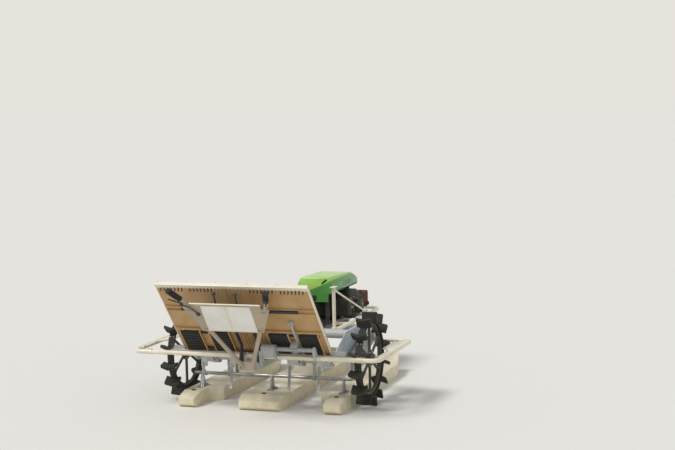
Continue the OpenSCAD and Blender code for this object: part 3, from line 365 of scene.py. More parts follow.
class Paint(Enum):
    """The finishes of this machine, each named for its real material; the hood's green and the dark resin
    also paint shade.
    """

    # Thick enamel on steel tube: creamy, glossy, chipped to brown primer at the edges
    CREAM_ENAMEL = Finish(
        "cream enamel on steel tube", "#e9e2cd", "#d9d0b6", "#8b6444", rough=0.36, coat=0.3, wear=0.7
    )
    # Welded steel under satin black enamel, rubbed to grey metal
    BLACK_ENAMEL = Finish(
        "black enamel on welded steel",
        "#242526",
        "#333436",
        "#82807b",
        rough=0.42,
        worn_metallic=0.8,
        coat=0.15,
    )
    # Sand-cast aluminium cases under light grey paint: the sand's grain of about 1 mm shows through
    # as a soft pebbled skin, drawn three times as coarse
    GREY_CASTING = Finish(
        "painted sand casting",
        "#b7bab8",
        "#a3a6a3",
        "#d2d3d0",
        rough=0.5,
        worn_metallic=0.7,
        grain_mm=3.4,
        grain_depth_mm=1.1,
    )
    # Heat-proof engine paint: flat black with a film of dust
    ENGINE_PAINT = Finish(
        "heat-proof black engine paint", "#191919", "#2b2927", "#6d6964", rough=0.55, worn_metallic=0.6
    )
    # Pressed sheet that has been hot: bare brown rust in clouds, with a scale of about 0.5 mm that
    # is drawn three times as coarse
    RUSTED_SHEET = Finish(
        "heat-rusted pressed sheet",
        "#3a2820",
        "#6b4029",
        "#8a5a38",
        rough=0.85,
        patch_mm=40.0,
        grain_mm=1.6,
        grain_depth_mm=0.5,
    )
    # Moulded ABS cover in two greens, smooth and fairly glossy; the deep green is partly painted shade on
    # the right and lower faces
    HOOD_ABS = TwoToneAndShade(
        "moulded ABS hood in two greens and painted shade",
        "#90c14c",
        "#a0ca66",
        "#c9dea0",
        rough=0.3,
        ior=1.54,
        coat=0.35,
        wear=0.3,
    )
    # Dark enamel on the wheel rims, scratched by stones
    WHEEL_ENAMEL = Finish(
        "dark enamel on wheel steel", "#2c2a28", "#3a3733", "#77706a", rough=0.5, worn_metallic=0.6, wear=0.8
    )
    # Moulded natural rubber, matt with pits of about 0.5 mm that are drawn four times as coarse
    LUG_RUBBER = Finish(
        "moulded lug rubber",
        "#201f1d",
        "#2d2b28",
        "#474440",
        rough=0.82,
        ior=1.52,
        grain_mm=2.0,
        grain_depth_mm=0.4,
        wear=0.4,
    )
    # Pressed guard sheet in pale blue-grey enamel
    GUARD_SHEET = Finish(
        "blue-grey enamel on pressed sheet", "#c2cdd5", "#b2bcc3", "#86796b", rough=0.38, coat=0.2
    )
    # Zinc-plated steel: soft grey sheen with cloudy spangle
    ZINC_PLATE = Finish(
        "zinc-plated steel",
        "#a7a9aa",
        "#8f9190",
        "#c9c9c6",
        rough=0.38,
        metallic=0.9,
        worn_metallic=1.0,
        patch_mm=25.0,
    )
    # Pressure die casting under pale paint: smooth, with hardly any orange peel and bright corners
    DIE_CASTING = Finish(
        "painted die casting",
        "#d6d8d6",
        "#c6c9c6",
        "#a9aba9",
        rough=0.42,
        worn_metallic=0.7,
        grain_depth_mm=0.15,
    )
    # Blow-moulded polyethylene: waxy cream, scuffed and sun-yellowed
    FLOAT_RESIN = Finish(
        "blow-moulded polyethylene",
        "#e6dcc2",
        "#dfd2b3",
        "#f0e8d4",
        rough=0.48,
        ior=1.54,
        patch_mm=220.0,
        grain_mm=5.0,
        grain_depth_mm=0.3,
        soil_share=0.22,
    )
    # Moulded ABS tray in tan brown, slightly blotched by sun and water, with the waviness of a large
    # thin moulding
    TAN_RESIN = Finish(
        "moulded tan ABS",
        "#c4a06e",
        "#b48e5b",
        "#dcc298",
        rough=0.46,
        ior=1.54,
        patch_mm=130.0,
        streak=0.45,
        grain_mm=2.5,
        grain_depth_mm=0.2,
        wear=0.35,
    )
    # Enamel on the bent steel tubes of the bars: grey-beige, satin, rubbed brown where hands go
    BEIGE_ENAMEL = Finish(
        "grey-beige enamel on bent tube", "#b8ab97", "#a99b86", "#7b6f62", rough=0.44, coat=0.15, wear=0.6
    )
    # Dark brown moulded inserts and caps, satin with a faint bloom; also the painted shade that fills the
    # tray's comb recesses
    DARK_RESIN_AND_SHADE = Finish(
        "dark brown moulded resin and painted shade", "#4a3426", "#3b2a20", "#6d5645", rough=0.55, ior=1.54, wear=0.3
    )
    # Moulded cream trim, satin, a little yellowed in patches
    CREAM_RESIN = Finish(
        "moulded cream ABS", "#e9e3d2", "#dcd4be", "#f3eee0", rough=0.42, ior=1.54, wear=0.3
    )
    # Lugged drive belting, black and slightly shiny
    BELT_RUBBER = Finish(
        "moulded belt rubber", "#1c1c1c", "#282725", "#3f3d3a", rough=0.7, ior=1.52, wear=0.4
    )
    # Soft rubber of grips, boots and seals: matt, greyer where it is rubbed
    GRIP_RUBBER = Finish("soft grip rubber", "#171717", "#222222", "#353433", rough=0.78, ior=1.52, wear=0.3)
    # Panel moulding in grey-beige with a spark-eroded texture that takes the gloss away. Its grit of
    # about 0.1 mm is drawn far coarser, so that it breaks up the light
    PANEL_RESIN = Finish(
        "textured grey-beige ABS",
        "#b5a78e",
        "#a6987f",
        "#c9bda6",
        rough=0.6,
        ior=1.54,
        grain_mm=1.6,
        grain_depth_mm=0.3,
    )
    # Thin sheet under white enamel, bare and glossy
    WHITE_PLATE = Finish(
        "white enamel on thin sheet", "#eeece6", "#e2dfd6", "#9b8f80", rough=0.34, coat=0.25
    )

    def material(self) -> bpy.types.Material:
        """Returns the finish's material, built at its first use."""
        found = bpy.data.materials.get(self.value.name)
        return found or self.value.build()


# Modelling


def deselect() -> None:
    """Clears the selection, because an operator acts on all that is selected."""
    if bpy.context.object and bpy.context.object.mode != "OBJECT":
        bpy.ops.object.mode_set(mode="OBJECT")
    bpy.ops.object.select_all(action="DESELECT")


def everywhere(middle: Vector, normal: Vector) -> bool:
    """Takes every face."""
    return True


def facing(way: Sequence[float]) -> Test:
    """Returns a test that takes the faces that look one way."""
    return lambda middle, normal: normal.dot(Vector(way)) > FACING


def turn_to(axis: Sequence[float]) -> Matrix:
    """Returns the rotation that brings +Z to an axis."""
    return Vector((0, 0, 1)).rotation_difference(Vector(axis)).to_matrix().to_4x4()


def shift(point: Sequence[float]) -> Matrix:
    """Returns the move from the origin to a point in millimetres."""
    return Matrix.Translation(Vector(point) * MM)


def sloped(foot: Sequence[float], lean: float) -> Matrix:
    """Returns a slope's own frame: +X from its foot up and to the rear, +Z out of its upper face.

    Args:
        foot: The slope's lower end in millimetres.
        lean: Its angle from level in radians.

    Returns:
        The frame's place.
    """
    return shift(foot) @ Matrix.Rotation(math.pi, 4, "Z") @ Matrix.Rotation(-lean, 4, "Y")


def at(point: Sequence[float], axis: Sequence[float] = (0, 0, 1)) -> Matrix:
    """Returns the place of a piece at a point in millimetres, with its +Z along an axis."""
    return shift(point) @ turn_to(axis)


def circle_of(
    centre: Sequence[float], axis: Sequence[float], radius: float, count: int, start: float = 0
) -> list[Matrix]:
    """Returns places spread evenly on a circle.

    Args:
        centre: Middle of the circle in millimetres.
        axis: Direction that the places face.
        radius: Radius of the circle in millimetres.
        count: How many places.
        start: Angle of the first place in degrees.

    Returns:
        One matrix for each place.
    """
    turn = turn_to(axis)
    angles = [math.radians(start + 360 * k / count) for k in range(count)]
    arms = [turn @ Vector((math.cos(a), math.sin(a), 0)) * radius for a in angles]
    return [at(Vector(centre) + arm, axis) for arm in arms]


def rim_of(one: Pair, r_one: float, two: Pair, r_two: float, y: float, side: int) -> list[Matrix]:
    """Returns places round the rim of a link-shaped case, on its face that looks along Y.

    Args:
        one: X and Z of the first round end in millimetres.
        r_one: Radius of the row of places round the first end.
        two: X and Z of the second round end.
        r_two: Radius of the row round the second end.
        y: Where the face lies.
        side: The way that the face looks, +1 or -1.

    Returns:
        One matrix for each place.
    """
    start, end = Vector(one), Vector(two)
    along = (end - start).normalized()
    across = Vector((-along.y, along.x))
    flat = []
    # Three places along each straight side, and three round each end
    for share in (0.2, 0.5, 0.8):
        middle, reach = start.lerp(end, share), r_one + (r_two - r_one) * share
        flat += [middle + across * reach, middle - across * reach]
    for turn in (-55, 0, 55):
        lean = math.radians(turn)
        tip = along * math.cos(lean) + across * math.sin(lean)
        flat += [end + tip * r_two, start - tip * r_one]
    return [at((p.x, y, p.y), (0, side, 0)) for p in flat]


class Work:
    """One piece while it is shaped with the modelling operators."""

    # Triangles that lean less than this against each other, in degrees, become one flat face
    flat_within: float = 0.6
    # Share of its radius by which a bar's far end is chamfered
    chamfer: float = 0.2
    # Steps of a weld bead: how far it stands out from its bar, and how high it is there
    bead: Pairs = ((2.8, 0.8), (2.3, 1.7), (0.6, 3.4))

    def __init__(self, piece: bpy.types.Object, name: str) -> None:
        """Takes over an object and names it.

        Args:
            piece: The object, a mesh.
            name: Its name from now on.
        """
        self.piece = piece
        piece.name = name
        piece.data.name = name

    @classmethod
    def block(cls, name: str, low: Sequence[float], high: Sequence[float]) -> "Work":
        """Starts from a cube stretched between two corners.

        Args:
            name: The piece's name.
            low: Its lowest corner in millimetres.
            high: Its highest corner.

        Returns:
            The block.
        """
        deselect()
        bpy.ops.mesh.primitive_cube_add(size=1.0)
        work = cls(bpy.context.object, name)
        size = (Vector(high) - Vector(low)) * MM
        middle = (Vector(high) + Vector(low)) / 2 * MM
        return work.place(Matrix.Translation(middle) @ Matrix.Diagonal((*size, 1.0)))

    @classmethod
    def turned(cls, name: str, profile: Sequence[Pair], sides: int = 24) -> "Work":
        """Starts from a cylinder on +Z and draws its end face on through further steps.

        Args:
            name: The piece's name.
            profile: Radius and height of each step from the foot up, in millimetres.
            sides: Faces round the piece.

        Returns:
            The turned piece, with its foot at the origin.
        """
        deselect()
        radius, height = profile[0]
        bpy.ops.mesh.primitive_cylinder_add(vertices=sides, radius=radius * MM, depth=height * MM)
        work = cls(bpy.context.object, name).place(at((0, 0, height / 2)))
        for wide, high in profile[1:]:
            top = height * MM
            work.pick(lambda middle, normal: abs(middle.z - top) < SAME_POINT and normal.z > FACING)
            rise = {"value": (0, 0, (high - height) * MM)}
            work.run(bpy.ops.mesh.extrude_region_move, TRANSFORM_OT_translate=rise)
            ratio = wide / radius
            work.run(bpy.ops.transform.resize, value=(ratio, ratio, 1), center_override=(0, 0, 0))
            radius, height = wide, high
        return work

    @classmethod
    def rod(
        cls, name: str, start: Sequence[float], end: Sequence[float], radius: float, sides: int = 20
    ) -> "Work":
        """Starts from a bar with a chamfered far end.

        Args:
            name: The piece's name.
            start: The point in millimetres where the bar begins.
            end: The point where it ends.
            radius: The bar's radius.
            sides: Faces round the bar.

        Returns:
            The bar.
        """
        axis = Vector(end) - Vector(start)
        chamfer = radius * cls.chamfer
        ends = [(radius, axis.length - chamfer), (radius - chamfer, axis.length)]
        return cls.turned(name, ends, sides).place(at(start, axis))

    @classmethod
    def tube(cls, name: str, points: Sequence[Sequence[float]], radius: float) -> "Work":
        """Starts from a smoothly bent bar through points in millimetres.

        Args:
            name: The piece's name.
            points: The points that its middle line passes.
            radius: The bar's radius.

        Returns:
            The bar as a mesh with closed ends.
        """
        deselect()
        line = bpy.data.curves.new(name, "CURVE")
        line.dimensions = "3D"
        line.bevel_depth = radius * MM
        line.bevel_resolution = 3
        line.use_fill_caps = True
        knots = line.splines.new("BEZIER").bezier_points
        knots.add(len(points) - 1)
        for knot, point in zip(knots, points):
            knot.co = Vector(point) * MM
            knot.handle_left_type = knot.handle_right_type = "AUTO"
        piece = bpy.data.objects.new(name, line)
        bpy.context.scene.collection.objects.link(piece)
        bpy.context.view_layer.objects.active = piece
        piece.select_set(True)
        bpy.ops.object.convert(target="MESH")
        return cls(bpy.context.object, name).weld()

    @classmethod
    def weld_beads(cls, name: str, radius: float, places: Iterable[Matrix]) -> "Work":
        """Lays a weld bead round a bar at each place.

        Args:
            name: The joined piece's name.
            radius: The bar's radius in millimetres.
            places: Where the beads lie, with +Z along the bar and away from what it meets.

        Returns:
            The beads as one piece.
        """
        steps = [(radius + out, up) for out, up in cls.bead]
        return cls.turned(name, steps, 28).spread(places)

    @classmethod
    def cad_copy(cls, name: str, node: str) -> "Work":
        """Starts from a merged copy of a CAD node, with its flat faces made whole.

        Args:
            name: The copy's name.
            node: The node's name.

        Returns:
            The copy, which has no material yet.
        """
        deselect()
        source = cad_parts[node]
        piece = bpy.data.objects.new(name, source.data.copy())
        bpy.context.scene.collection.objects.link(piece)
        bpy.context.view_layer.objects.active = piece
        piece.select_set(True)
        piece.data.materials.clear()
        work = cls(piece, name)
        if piece.data.has_custom_normals:
            bpy.ops.mesh.customdata_custom_splitnormals_clear()
        return work.weld().run(bpy.ops.mesh.dissolve_limited, angle_limit=math.radians(cls.flat_within))

    def weld(self) -> "Work":
        """Merges points that coincide."""
        return self.pick(everywhere).run(bpy.ops.mesh.remove_doubles, threshold=SAME_POINT)

    def place(self, where: Matrix) -> "Work":
        """Moves the piece's mesh to a place."""
        self.piece.data.transform(where)
        return self

    def frame_only(self, width: float) -> "Work":
        """Opens the piece's upper and lower face, so that a ring stays.

        Args:
            width: The ring's width in millimetres.

        Returns:
            This piece.
        """
        self.pick(lambda middle, normal: abs(normal.z) > FACING)
        self.run(bpy.ops.mesh.inset, thickness=width * MM, use_individual=True)
        self.run(bpy.ops.mesh.delete, type="FACE")
        mesh = self.piece.data
        counts = [0] * len(mesh.edges)
        for loop in mesh.loops:
            counts[loop.edge_index] += 1
        self.clear(edges=True)
        for edge, count in zip(mesh.edges, counts):
            edge.select = count == 1
        return self.run(bpy.ops.mesh.bridge_edge_loops)

    def select(self) -> None:
        """Makes this piece the only one selected, and the active one."""
        deselect()
        self.piece.select_set(True)
        bpy.context.view_layer.objects.active = self.piece

    def clear(self, edges: bool = False) -> None:
        """Takes this piece alone, with nothing on it selected yet.

        Args:
            edges: Whether edges are selected next, and not faces.
        """
        self.select()
        mesh = self.piece.data
        bpy.context.tool_settings.mesh_select_mode = (False, edges, not edges)
        for group in (mesh.vertices, mesh.edges, mesh.polygons):
            group.foreach_set("select", [False] * len(group))

    def pick(self, test: Test) -> "Work":
        """Selects the faces that a test takes.

        Args:
            test: Says of a face's middle and normal whether it is taken.

        Returns:
            This piece.
        """
        self.clear()
        for face in self.piece.data.polygons:
            face.select = test(face.center, face.normal)
        return self

    def run(self, operator: Callable, **settings: Any) -> "Work":
        """Runs an edit-mode operator on what is selected.

        Args:
            operator: The operator from bpy.ops.
            settings: What it is given.

        Returns:
            This piece.
        """
        bpy.context.view_layer.objects.active = self.piece
        bpy.ops.object.mode_set(mode="EDIT")
        operator(**settings)
        bpy.ops.object.mode_set(mode="OBJECT")
        return self

    def inset(self, test: Test, width: float, depth: float = 0.0) -> "Work":
        """Insets the faces that a test takes by a width, and raises them by a depth, in millimetres."""
        return self.pick(test).run(bpy.ops.mesh.inset, thickness=width * MM, depth=depth * MM)

    def modify(self, kind: str, **settings: Any) -> "Work":
        """Adds a modifier and applies it.

        Args:
            kind: Blender's name for the modifier type.
            settings: Attributes of the modifier.

        Returns:
            This piece.
        """
        self.select()
        modifier = self.piece.modifiers.new(kind.title(), kind)
        for name, value in settings.items():
            setattr(modifier, name, value)
        bpy.ops.object.modifier_apply(modifier=modifier.name)
        return self

    def soften(self, width: float, segments: int = 2, angle: float = 35.0) -> "Work":
        """Rounds every sharp edge, and clears away faces that this leaves without an area.

        Args:
            width: Width of the rounding in millimetres.
            segments: Faces across the rounding.
            angle: Angle in degrees from which an edge counts as sharp.

        Returns:
            This piece.
        """
        self.modify(
            "BEVEL",
            width=width * MM,
            segments=segments,
            limit_method="ANGLE",
            angle_limit=math.radians(angle),
            use_clamp_overlap=True,
        )
        return self.pick(everywhere).run(bpy.ops.mesh.dissolve_degenerate, threshold=SAME_POINT)

    def join(self, others: Iterable["Work"]) -> "Work":
        """Joins other pieces into this one.

        Args:
            others: The pieces, which are gone afterwards.

        Returns:
            This piece.
        """
        self.select()
        for other in others:
            other.piece.select_set(True)
        bpy.ops.object.join()
        return self

    def spread(self, places: Iterable[Matrix]) -> "Work":
        """Replaces the piece by a copy of it at each place, joined into one.

        Args:
            places: Where the copies go.

        Returns:
            This piece.
        """
        name = self.piece.name
        copies = []
        for place in places:
            mesh = self.piece.data.copy()
            mesh.transform(place)
            copy = bpy.data.objects.new(name, mesh)
            bpy.context.scene.collection.objects.link(copy)
            copies.append(Work(copy, name + "_copy"))
        first, rest = copies[0], copies[1:]
        bpy.data.objects.remove(self.piece)
        first.join(rest)
        first.piece.name = name
        self.piece = first.piece
        return self

    def done(self, body: str, paint: Paint, slot: str, smooth: float = SMOOTH) -> bpy.types.Object:
        """Gives the piece its finish, its smooth shading and the body that it rides on, and reports it.

        Args:
            body: The CAD body that carries the piece.
            paint: Its finish.
            slot: Not used.
            smooth: Angle between faces, in degrees, under which they are shaded smooth.

        Returns:
            The finished object.
        """
        self.select()
        bpy.ops.object.shade_smooth_by_angle(angle=math.radians(smooth))
        self.piece.data.materials.clear()
        self.piece.data.materials.append(paint.material())
        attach(self.piece, body)
        faces = len(self.piece.data.polygons)
        LOG.info("%s on %s: %d faces, %s", self.piece.name, body, faces, paint.value.name)
        return self.piece


# Sub-assemblies


class Thread(Enum):
    """Sizes of hex bolts, each with the radius over the corners of its head."""

    M5 = 4.6
    M6 = 5.8
    M8 = 7.5
    M10 = 9.4

    def fit(self, name: str, body: str, places: Iterable[Matrix]) -> None:
        """Puts a flanged hex head of this size at each place.

        Args:
            name: Name of the joined piece.
            body: The body that the bolts ride on.
            places: Where the heads sit, with +Z out of the surface.
        """
        over, flange = self.value, 1.2
        # The flange reaches past the head's corners, and the head is about as tall as its radius
        washer = Work.turned(name, [(over * 1.22, flange), (over * 1.12, flange + 0.4)], 16)
        head = Work.turned("head", [(over, over * 0.85), (over * 0.8, over * 1.02)], 6)
        washer.join([head.place(at((0, 0, flange)))]).spread(places)
        washer.done(body, Paint.ZINC_PLATE, "steel_bare", CRISP)


@dataclass(frozen=True)
class Skin:
    """A CAD node's finished copy: its finish, its slot and how far its edges are rounded.

    Faces with deep notches are split first where the rounding would fold them.
    """

    node: str
    paint: Paint
    slot: str
    edge_mm: float = 1.0
    split: bool = False

    def copy(self) -> Work:
        """Starts the copy and rounds its edges.

        Returns:
            The copy, ready to be dressed.
        """
        work = Work.cad_copy(self.node + "_finished", self.node)
        if self.split:
            work.pick(everywhere).run(bpy.ops.mesh.vert_connect_concave)
        return work.soften(self.edge_mm)

    def make(self, body: str, work: Work | None = None) -> None:
        """Dresses the copy and lets it stand for its node.

        Args:
            body: The body that the node rides on.
            work: The copy, if it was shaped further.
        """
        piece = (work or self.copy()).done(body, self.paint, self.slot)
        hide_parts(self.node)


@dataclass(frozen=True)
class Assembly:
    """A sub-assembly: the finished copies of its CAD nodes and the small pieces on them."""

    body: str = "chassis"
    skins: tuple[Skin, ...] = ()

    def build(self) -> None:
        """Builds the copies and then the small pieces."""
        for skin in self.skins:
            skin.make(self.body)
        self.details()

    def details(self) -> None:
        """Adds the small pieces. An assembly with none leaves this as it is."""


@dataclass(frozen=True)
class Frame(Assembly):
    """Bearers, guard hoop, rack posts, side guards and the bed under the engine."""

    # Bolts of the engine's plate, on the bearers and at the nose
    bearer_y: float = 90.0
    plate_top: float = 392.2
    plate_bolts: Pair = (655.0, 1050.0)
    nose_bolt: Triple = (1103.3, 72.0, 362.0)
    # Rack posts on the hoop: foot block's top, cap's underside and bolts, and the stays' feet
    hoop_y: float = 260.0
    post_x: float = 170.0
    post_r: float = 12.0
    post_foot: float = 423.8
    post_cap: float = 699.2
    post_bolt: float = 12.5
    stay_foot: Pair = (890.0, 431.8)
    # Flat plates of the side guards
    guard_top: float = 384.0
    guard_bolts: Pairs = ((-570.0, 808.0), (-400.0, 808.0), (-290.0, 765.0), (-26.0, 765.0))
    # Rear bar, with the arms and the joints that hold it
    rear_bar: Pair = (-680.0, 372.0)
    arm_y: float = 60.0
    joint_y: float = 716.0
    joint_top: float = 388.8
    joint_screw: float = 11.0
    # U-bolts: half width and rise of the arch, wire radius, ends and distance from the arm
    u_bolt: Pair = (19.2, 18.1)
    u_bolt_r: float = 3.0
    u_bolt_foot: float = 344.0
    u_bolt_gap: float = 8.0
    sleeve: Pairs = ((15.6, 1), (17, 3), (17, 34), (15.6, 36))
    skins: tuple[Skin, ...] = (
        Skin("main_frame", Paint.BLACK_ENAMEL, "frame_dark", 1.5, True),
        Skin("guard_hoop", Paint.CREAM_ENAMEL, "frame_cream", 0.3),
        Skin("tow_lug", Paint.BLACK_ENAMEL, "frame_dark"),
        Skin("rack_post_left", Paint.CREAM_ENAMEL, "frame_cream"),
        Skin("rack_post_right", Paint.CREAM_ENAMEL, "frame_cream"),
        Skin("engine_bed", Paint.GUARD_SHEET, "guard_grey"),
        Skin("rear_bar", Paint.CREAM_ENAMEL, "frame_cream", 1.5),
        Skin("side_guard_left", Paint.CREAM_ENAMEL, "frame_cream", 1.0, True),
        Skin("side_guard_right", Paint.CREAM_ENAMEL, "frame_cream", 1.0, True),
    )

    def details(self) -> None:
        """Adds the bolts, what joins the rear bar and the beads of the rack posts."""
        self.bolts()
        self.u_bolts()
        self.sleeves()
        self.post_welds()

    def bolts(self) -> None:
        """Bolts the engine's plate, the nose, the rack posts' feet, the stays and the guards."""
        wide = [at((x, side * self.bearer_y, self.plate_top)) for x in self.plate_bolts for side in SIDES]
        x, y, z = self.nose_bolt
        wide += [at((x, side * y, z), (1, 0, 0)) for side in SIDES]
        Thread.M8.fit("frame_bolts", self.body, wide)
        small = []
        for side in SIDES:
            foot_x = self.post_x + self.post_bolt
            feet = [side * (self.hoop_y + way * self.post_bolt) for way in SIDES]
            small += [at((foot_x, foot_y, self.post_foot)) for foot_y in feet]
            small += [at((self.stay_foot[0], side * self.hoop_y, self.stay_foot[1]))]
            small += [at((plate_x, side * plate_y, self.guard_top)) for plate_x, plate_y in self.guard_bolts]
            screws = [side * (self.joint_y + way * self.joint_screw) for way in SIDES]
            small += [at((self.rear_bar[0], screw_y, self.joint_top)) for screw_y in screws]
        Thread.M5.fit("guard_bolts", self.body, small)

    def u_bolts(self) -> None:
        """Lays two U-bolts over the rear bar at each arm that carries it."""
        x, z = self.rear_bar
        wide, high = self.u_bolt
        turns = [math.radians(a) for a in range(0, 181, 20)]
        arch = [(x + wide * math.cos(a), 0, z + high * math.sin(a)) for a in turns]
        line = [(x + wide, 0, self.u_bolt_foot), *arch, (x - wide, 0, self.u_bolt_foot)]
        across = [side * self.arm_y + way * self.u_bolt_gap for side in SIDES for way in SIDES]
        places = [shift((0, y, 0)) for y in across]
        bolts = Work.tube("rear_bar_u_bolts", line, self.u_bolt_r).spread(places)
        bolts.done(self.body, Paint.ZINC_PLATE, "steel_bare")

    def sleeves(self) -> None:
        """Slips a turned sleeve over each joint of the rear bar."""
        x, z = self.rear_bar
        half = self.sleeve[-1][1] / 2
        places = [at((x, side * self.joint_y - half, z), (0, 1, 0)) for side in SIDES]
        sleeves = Work.turned("rear_bar_sleeves", self.sleeve).spread(places)
        sleeves.done(self.body, Paint.CREAM_ENAMEL, "frame_cream")

    def post_welds(self) -> None:
        """Lays the weld beads at the foot and at the cap of each rack post."""
        beads = [at((self.post_x, side * self.hoop_y, self.post_foot - 0.2)) for side in SIDES]
        beads += [at((self.post_x, side * self.hoop_y, self.post_cap), (0, 0, -1)) for side in SIDES]
        welds = Work.weld_beads("rack_post_welds", self.post_r, beads)
        welds.done(self.body, Paint.CREAM_ENAMEL, "frame_cream")


@dataclass(frozen=True)
class Engine(Assembly):
    """The open engine under the hood, with its starter, muffler, air cleaner and belt cover."""

    # Crankshaft and the belt's driven end, with the belt cover's outer face and bolt rows
    crank: Pair = (850.0, 486.0)
    entry: Pair = (190.0, 458.0)
    cover_face: float = 144.0
    cover_rows: Pair = (81.0, 61.0)
    # Right side of the block, and its bolts behind the crankshaft
    block_face: float = -118.0
    block_bolt_back: float = 106.0
    block_bolts: Triple = (-82.0, 74.0, -4.0)
    # Cylinder's lean from upright in degrees, its foot from the crankshaft, and its length
    cylinder_lean: float = 60.0
    cylinder_foot: Pair = (60.0, 20.0)
    cylinder_reach: float = 107.0
    plug: Pairs = ((11, 7), (9.5, 8))
    plug_neck: Pairs = ((6, 18), (5, 19))
    plug_cap: Pairs = ((8, 10), (9.5, 12), (9.5, 20), (7, 24))
    plug_cap_up: float = 12.0
    # Guard before the muffler: its slats' offsets from the middle, and its posts'
    guard_at: Triple = (1039.3, -151.0, 503.0)
    guard_half: Pair = (51.0, 67.0)
    guard_rim: float = 9.0
    guard_t: float = 2.5
    bar_wide: float = 7.0
    bar_in: float = 4.0
    bars: tuple[float, ...] = (-55.0, -39.0, -23.0, -7.0, 9.0, 25.0, 41.0)
    guard_posts: Pair = (59.0, 45.0)
    guard_post_r: float = 4.0
    # Tail pipe, caps and plugs
    tail_at: Triple = (998.3, -232.0, 468.0)
    tail: Pairs = ((12.6, 1), (13.4, 2), (13.4, 9), (12.6, 10))
    fuel_cap_at: Triple = (806.0, 20.0, 687.0)
    fuel_cap: Pairs = ((24, 3), (26, 4), (26, 13), (23, 15), (15, 15), (13, 13.5))
    oil_filler_at: Triple = (733.0, -88.0, 430.0)
    oil_filler: Pairs = ((13, 5), (15, 6), (15, 15), (12, 17))
    oil_drain_at: Triple = (938.0, -118.0, 405.0)
    # Starter and fan cowl, with the radius of the screws' circle
    starter_face: float = -235.0
    cowl_face: float = -200.0
    cowl_screws: float = 91.0
    # Air cleaner's wing nut and clips, whose line is given as Y and Z
    filter_at: Triple = (690.0, -206.0, 484.0)
    filter_knob: Pairs = ((13, 4), (9, 5), (8, 12), (9.5, 13), (9.5, 17), (7, 19))
    wing_low: Triple = (-16.0, -2.5, 9.0)
    wing_high: Triple = (16.0, 2.5, 17.0)
    clip_x: Pair = (664.0, 712.0)
    clip_line: Pairs = ((-184, 543.4), (-200, 543.8), (-207.6, 537), (-207.6, 522), (-206.4, 514))
    clip_r: float = 1.6
    skins: tuple[Skin, ...] = (
        Skin("engine_block", Paint.ENGINE_PAINT, "engine_black", 1.2, True),
        Skin("fan_cowl", Paint.ENGINE_PAINT, "engine_black", 1.5),
        Skin("muffler", Paint.RUSTED_SHEET, "muffler_brown", 1.5),
        Skin("air_cleaner", Paint.ENGINE_PAINT, "engine_black", 4.0),
        Skin("fuel_tank", Paint.ENGINE_PAINT, "engine_black", 3.0),
        Skin("belt_cover", Paint.ENGINE_PAINT, "engine_black", 4.0),
    )

    def details(self) -> None:
        """Adds what shows on the engine from close by."""
        self.bolts()
        self.spark_plug()
        self.heat_guard()
        self.tail_pipe()
        self.fillers()
        self.starter()
        self.filter_lid()

    def bolts(self) -> None:
        """Bolts the belt cover's rim and the block's side."""
        one, two = self.cover_rows
        rim = rim_of(self.crank, one, self.entry, two, self.cover_face, 1)
        Thread.M5.fit("belt_cover_bolts", self.body, rim)
        x, z = self.crank
        back = x - self.block_bolt_back
        block = [at((back, self.block_face, z + up), (0, -1, 0)) for up in self.block_bolts]
        Thread.M6.fit("engine_side_bolts", self.body, block)

    def spark_plug(self) -> None:
        """Screws the plug and its rubber cap into the leaning cylinder's head."""
        lean = math.radians(self.cylinder_lean)
        out = Vector((math.sin(lean), 0, math.cos(lean)))
        ahead, up = self.cylinder_foot
        foot = Vector((self.crank[0] + ahead, 0, self.crank[1] + up)) + out * self.cylinder_reach
        plug = Work.turned("spark_plug", self.plug, 6)
        plug.join([Work.turned("neck", self.plug_neck)]).place(at(foot, out))
        plug.done(self.body, Paint.ZINC_PLATE, "steel_bare")
        cap = Work.turned("spark_plug_cap", self.plug_cap).place(at(foot + out * self.plug_cap_up, out))
        cap.done(self.body, Paint.GRIP_RUBBER, "grip_rubber")

    def heat_guard(self) -> None:
        """Hangs the slotted guard before the muffler on four short posts."""
        x, y, z = self.guard_at
        tall, wide = self.guard_half
        guard = Work.block("muffler_guard", (-tall, -wide, 0), (tall, wide, self.guard_t))
        guard.frame_only(self.guard_rim).place(shift(self.guard_at) @ Matrix.Rotation(math.pi / 2, 4, "Y"))
        reach = tall - self.bar_in
        parts = []
        for off in self.bars:
            high = (x + self.guard_t, y + off + self.bar_wide, z + reach)
            parts.append(Work.block("bar", (x, y + off, z - reach), high))
        across, up = self.guard_posts
        for post_y in (y - across, y + across):
            for post_z in (z - up, z + up):
                foot, head = (x - 5, post_y, post_z), (x + 1, post_y, post_z)
                parts.append(Work.rod("post", foot, head, self.guard_post_r))
        guard.join(parts).soften(0.5).done(self.body, Paint.RUSTED_SHEET, "muffler_brown")

    def tail_pipe(self) -> None:
        """Adds the muffler's hollow tail pipe."""
        pipe = Work.turned("muffler_tail", self.tail).place(at(self.tail_at, (0, -1, 0)))
        pipe.inset(facing((0, -1, 0)), 2.2, -7.0)
        pipe.done(self.body, Paint.RUSTED_SHEET, "muffler_brown")

    def fillers(self) -> None:
        """Adds the fuel cap, the oil filler and the oil's drain plug."""
        cap = Work.turned("fuel_cap", self.fuel_cap, 36).place(at(self.fuel_cap_at))
        cap.done(self.body, Paint.GRIP_RUBBER, "grip_rubber")
        oil = Work.turned("oil_filler", self.oil_filler, 12).place(at(self.oil_filler_at, (-1, 0, 0)))
        oil.done(self.body, Paint.DARK_RESIN_AND_SHADE, "frame_dark")
        Thread.M10.fit("oil_drain", self.body, [at(self.oil_drain_at, (0, -1, 0))])

    def starter(self) -> None:
        """Adds the starter's middle nut and the screws round the fan's cowl."""
        x, z = self.crank
        Thread.M10.fit("starter_nut", self.body, [at((x, self.starter_face, z), (0, -1, 0))])
        around = circle_of((x, self.cowl_face, z), (0, -1, 0), self.cowl_screws, 6, 20)
        Thread.M5.fit("cowl_screws", self.body, around)

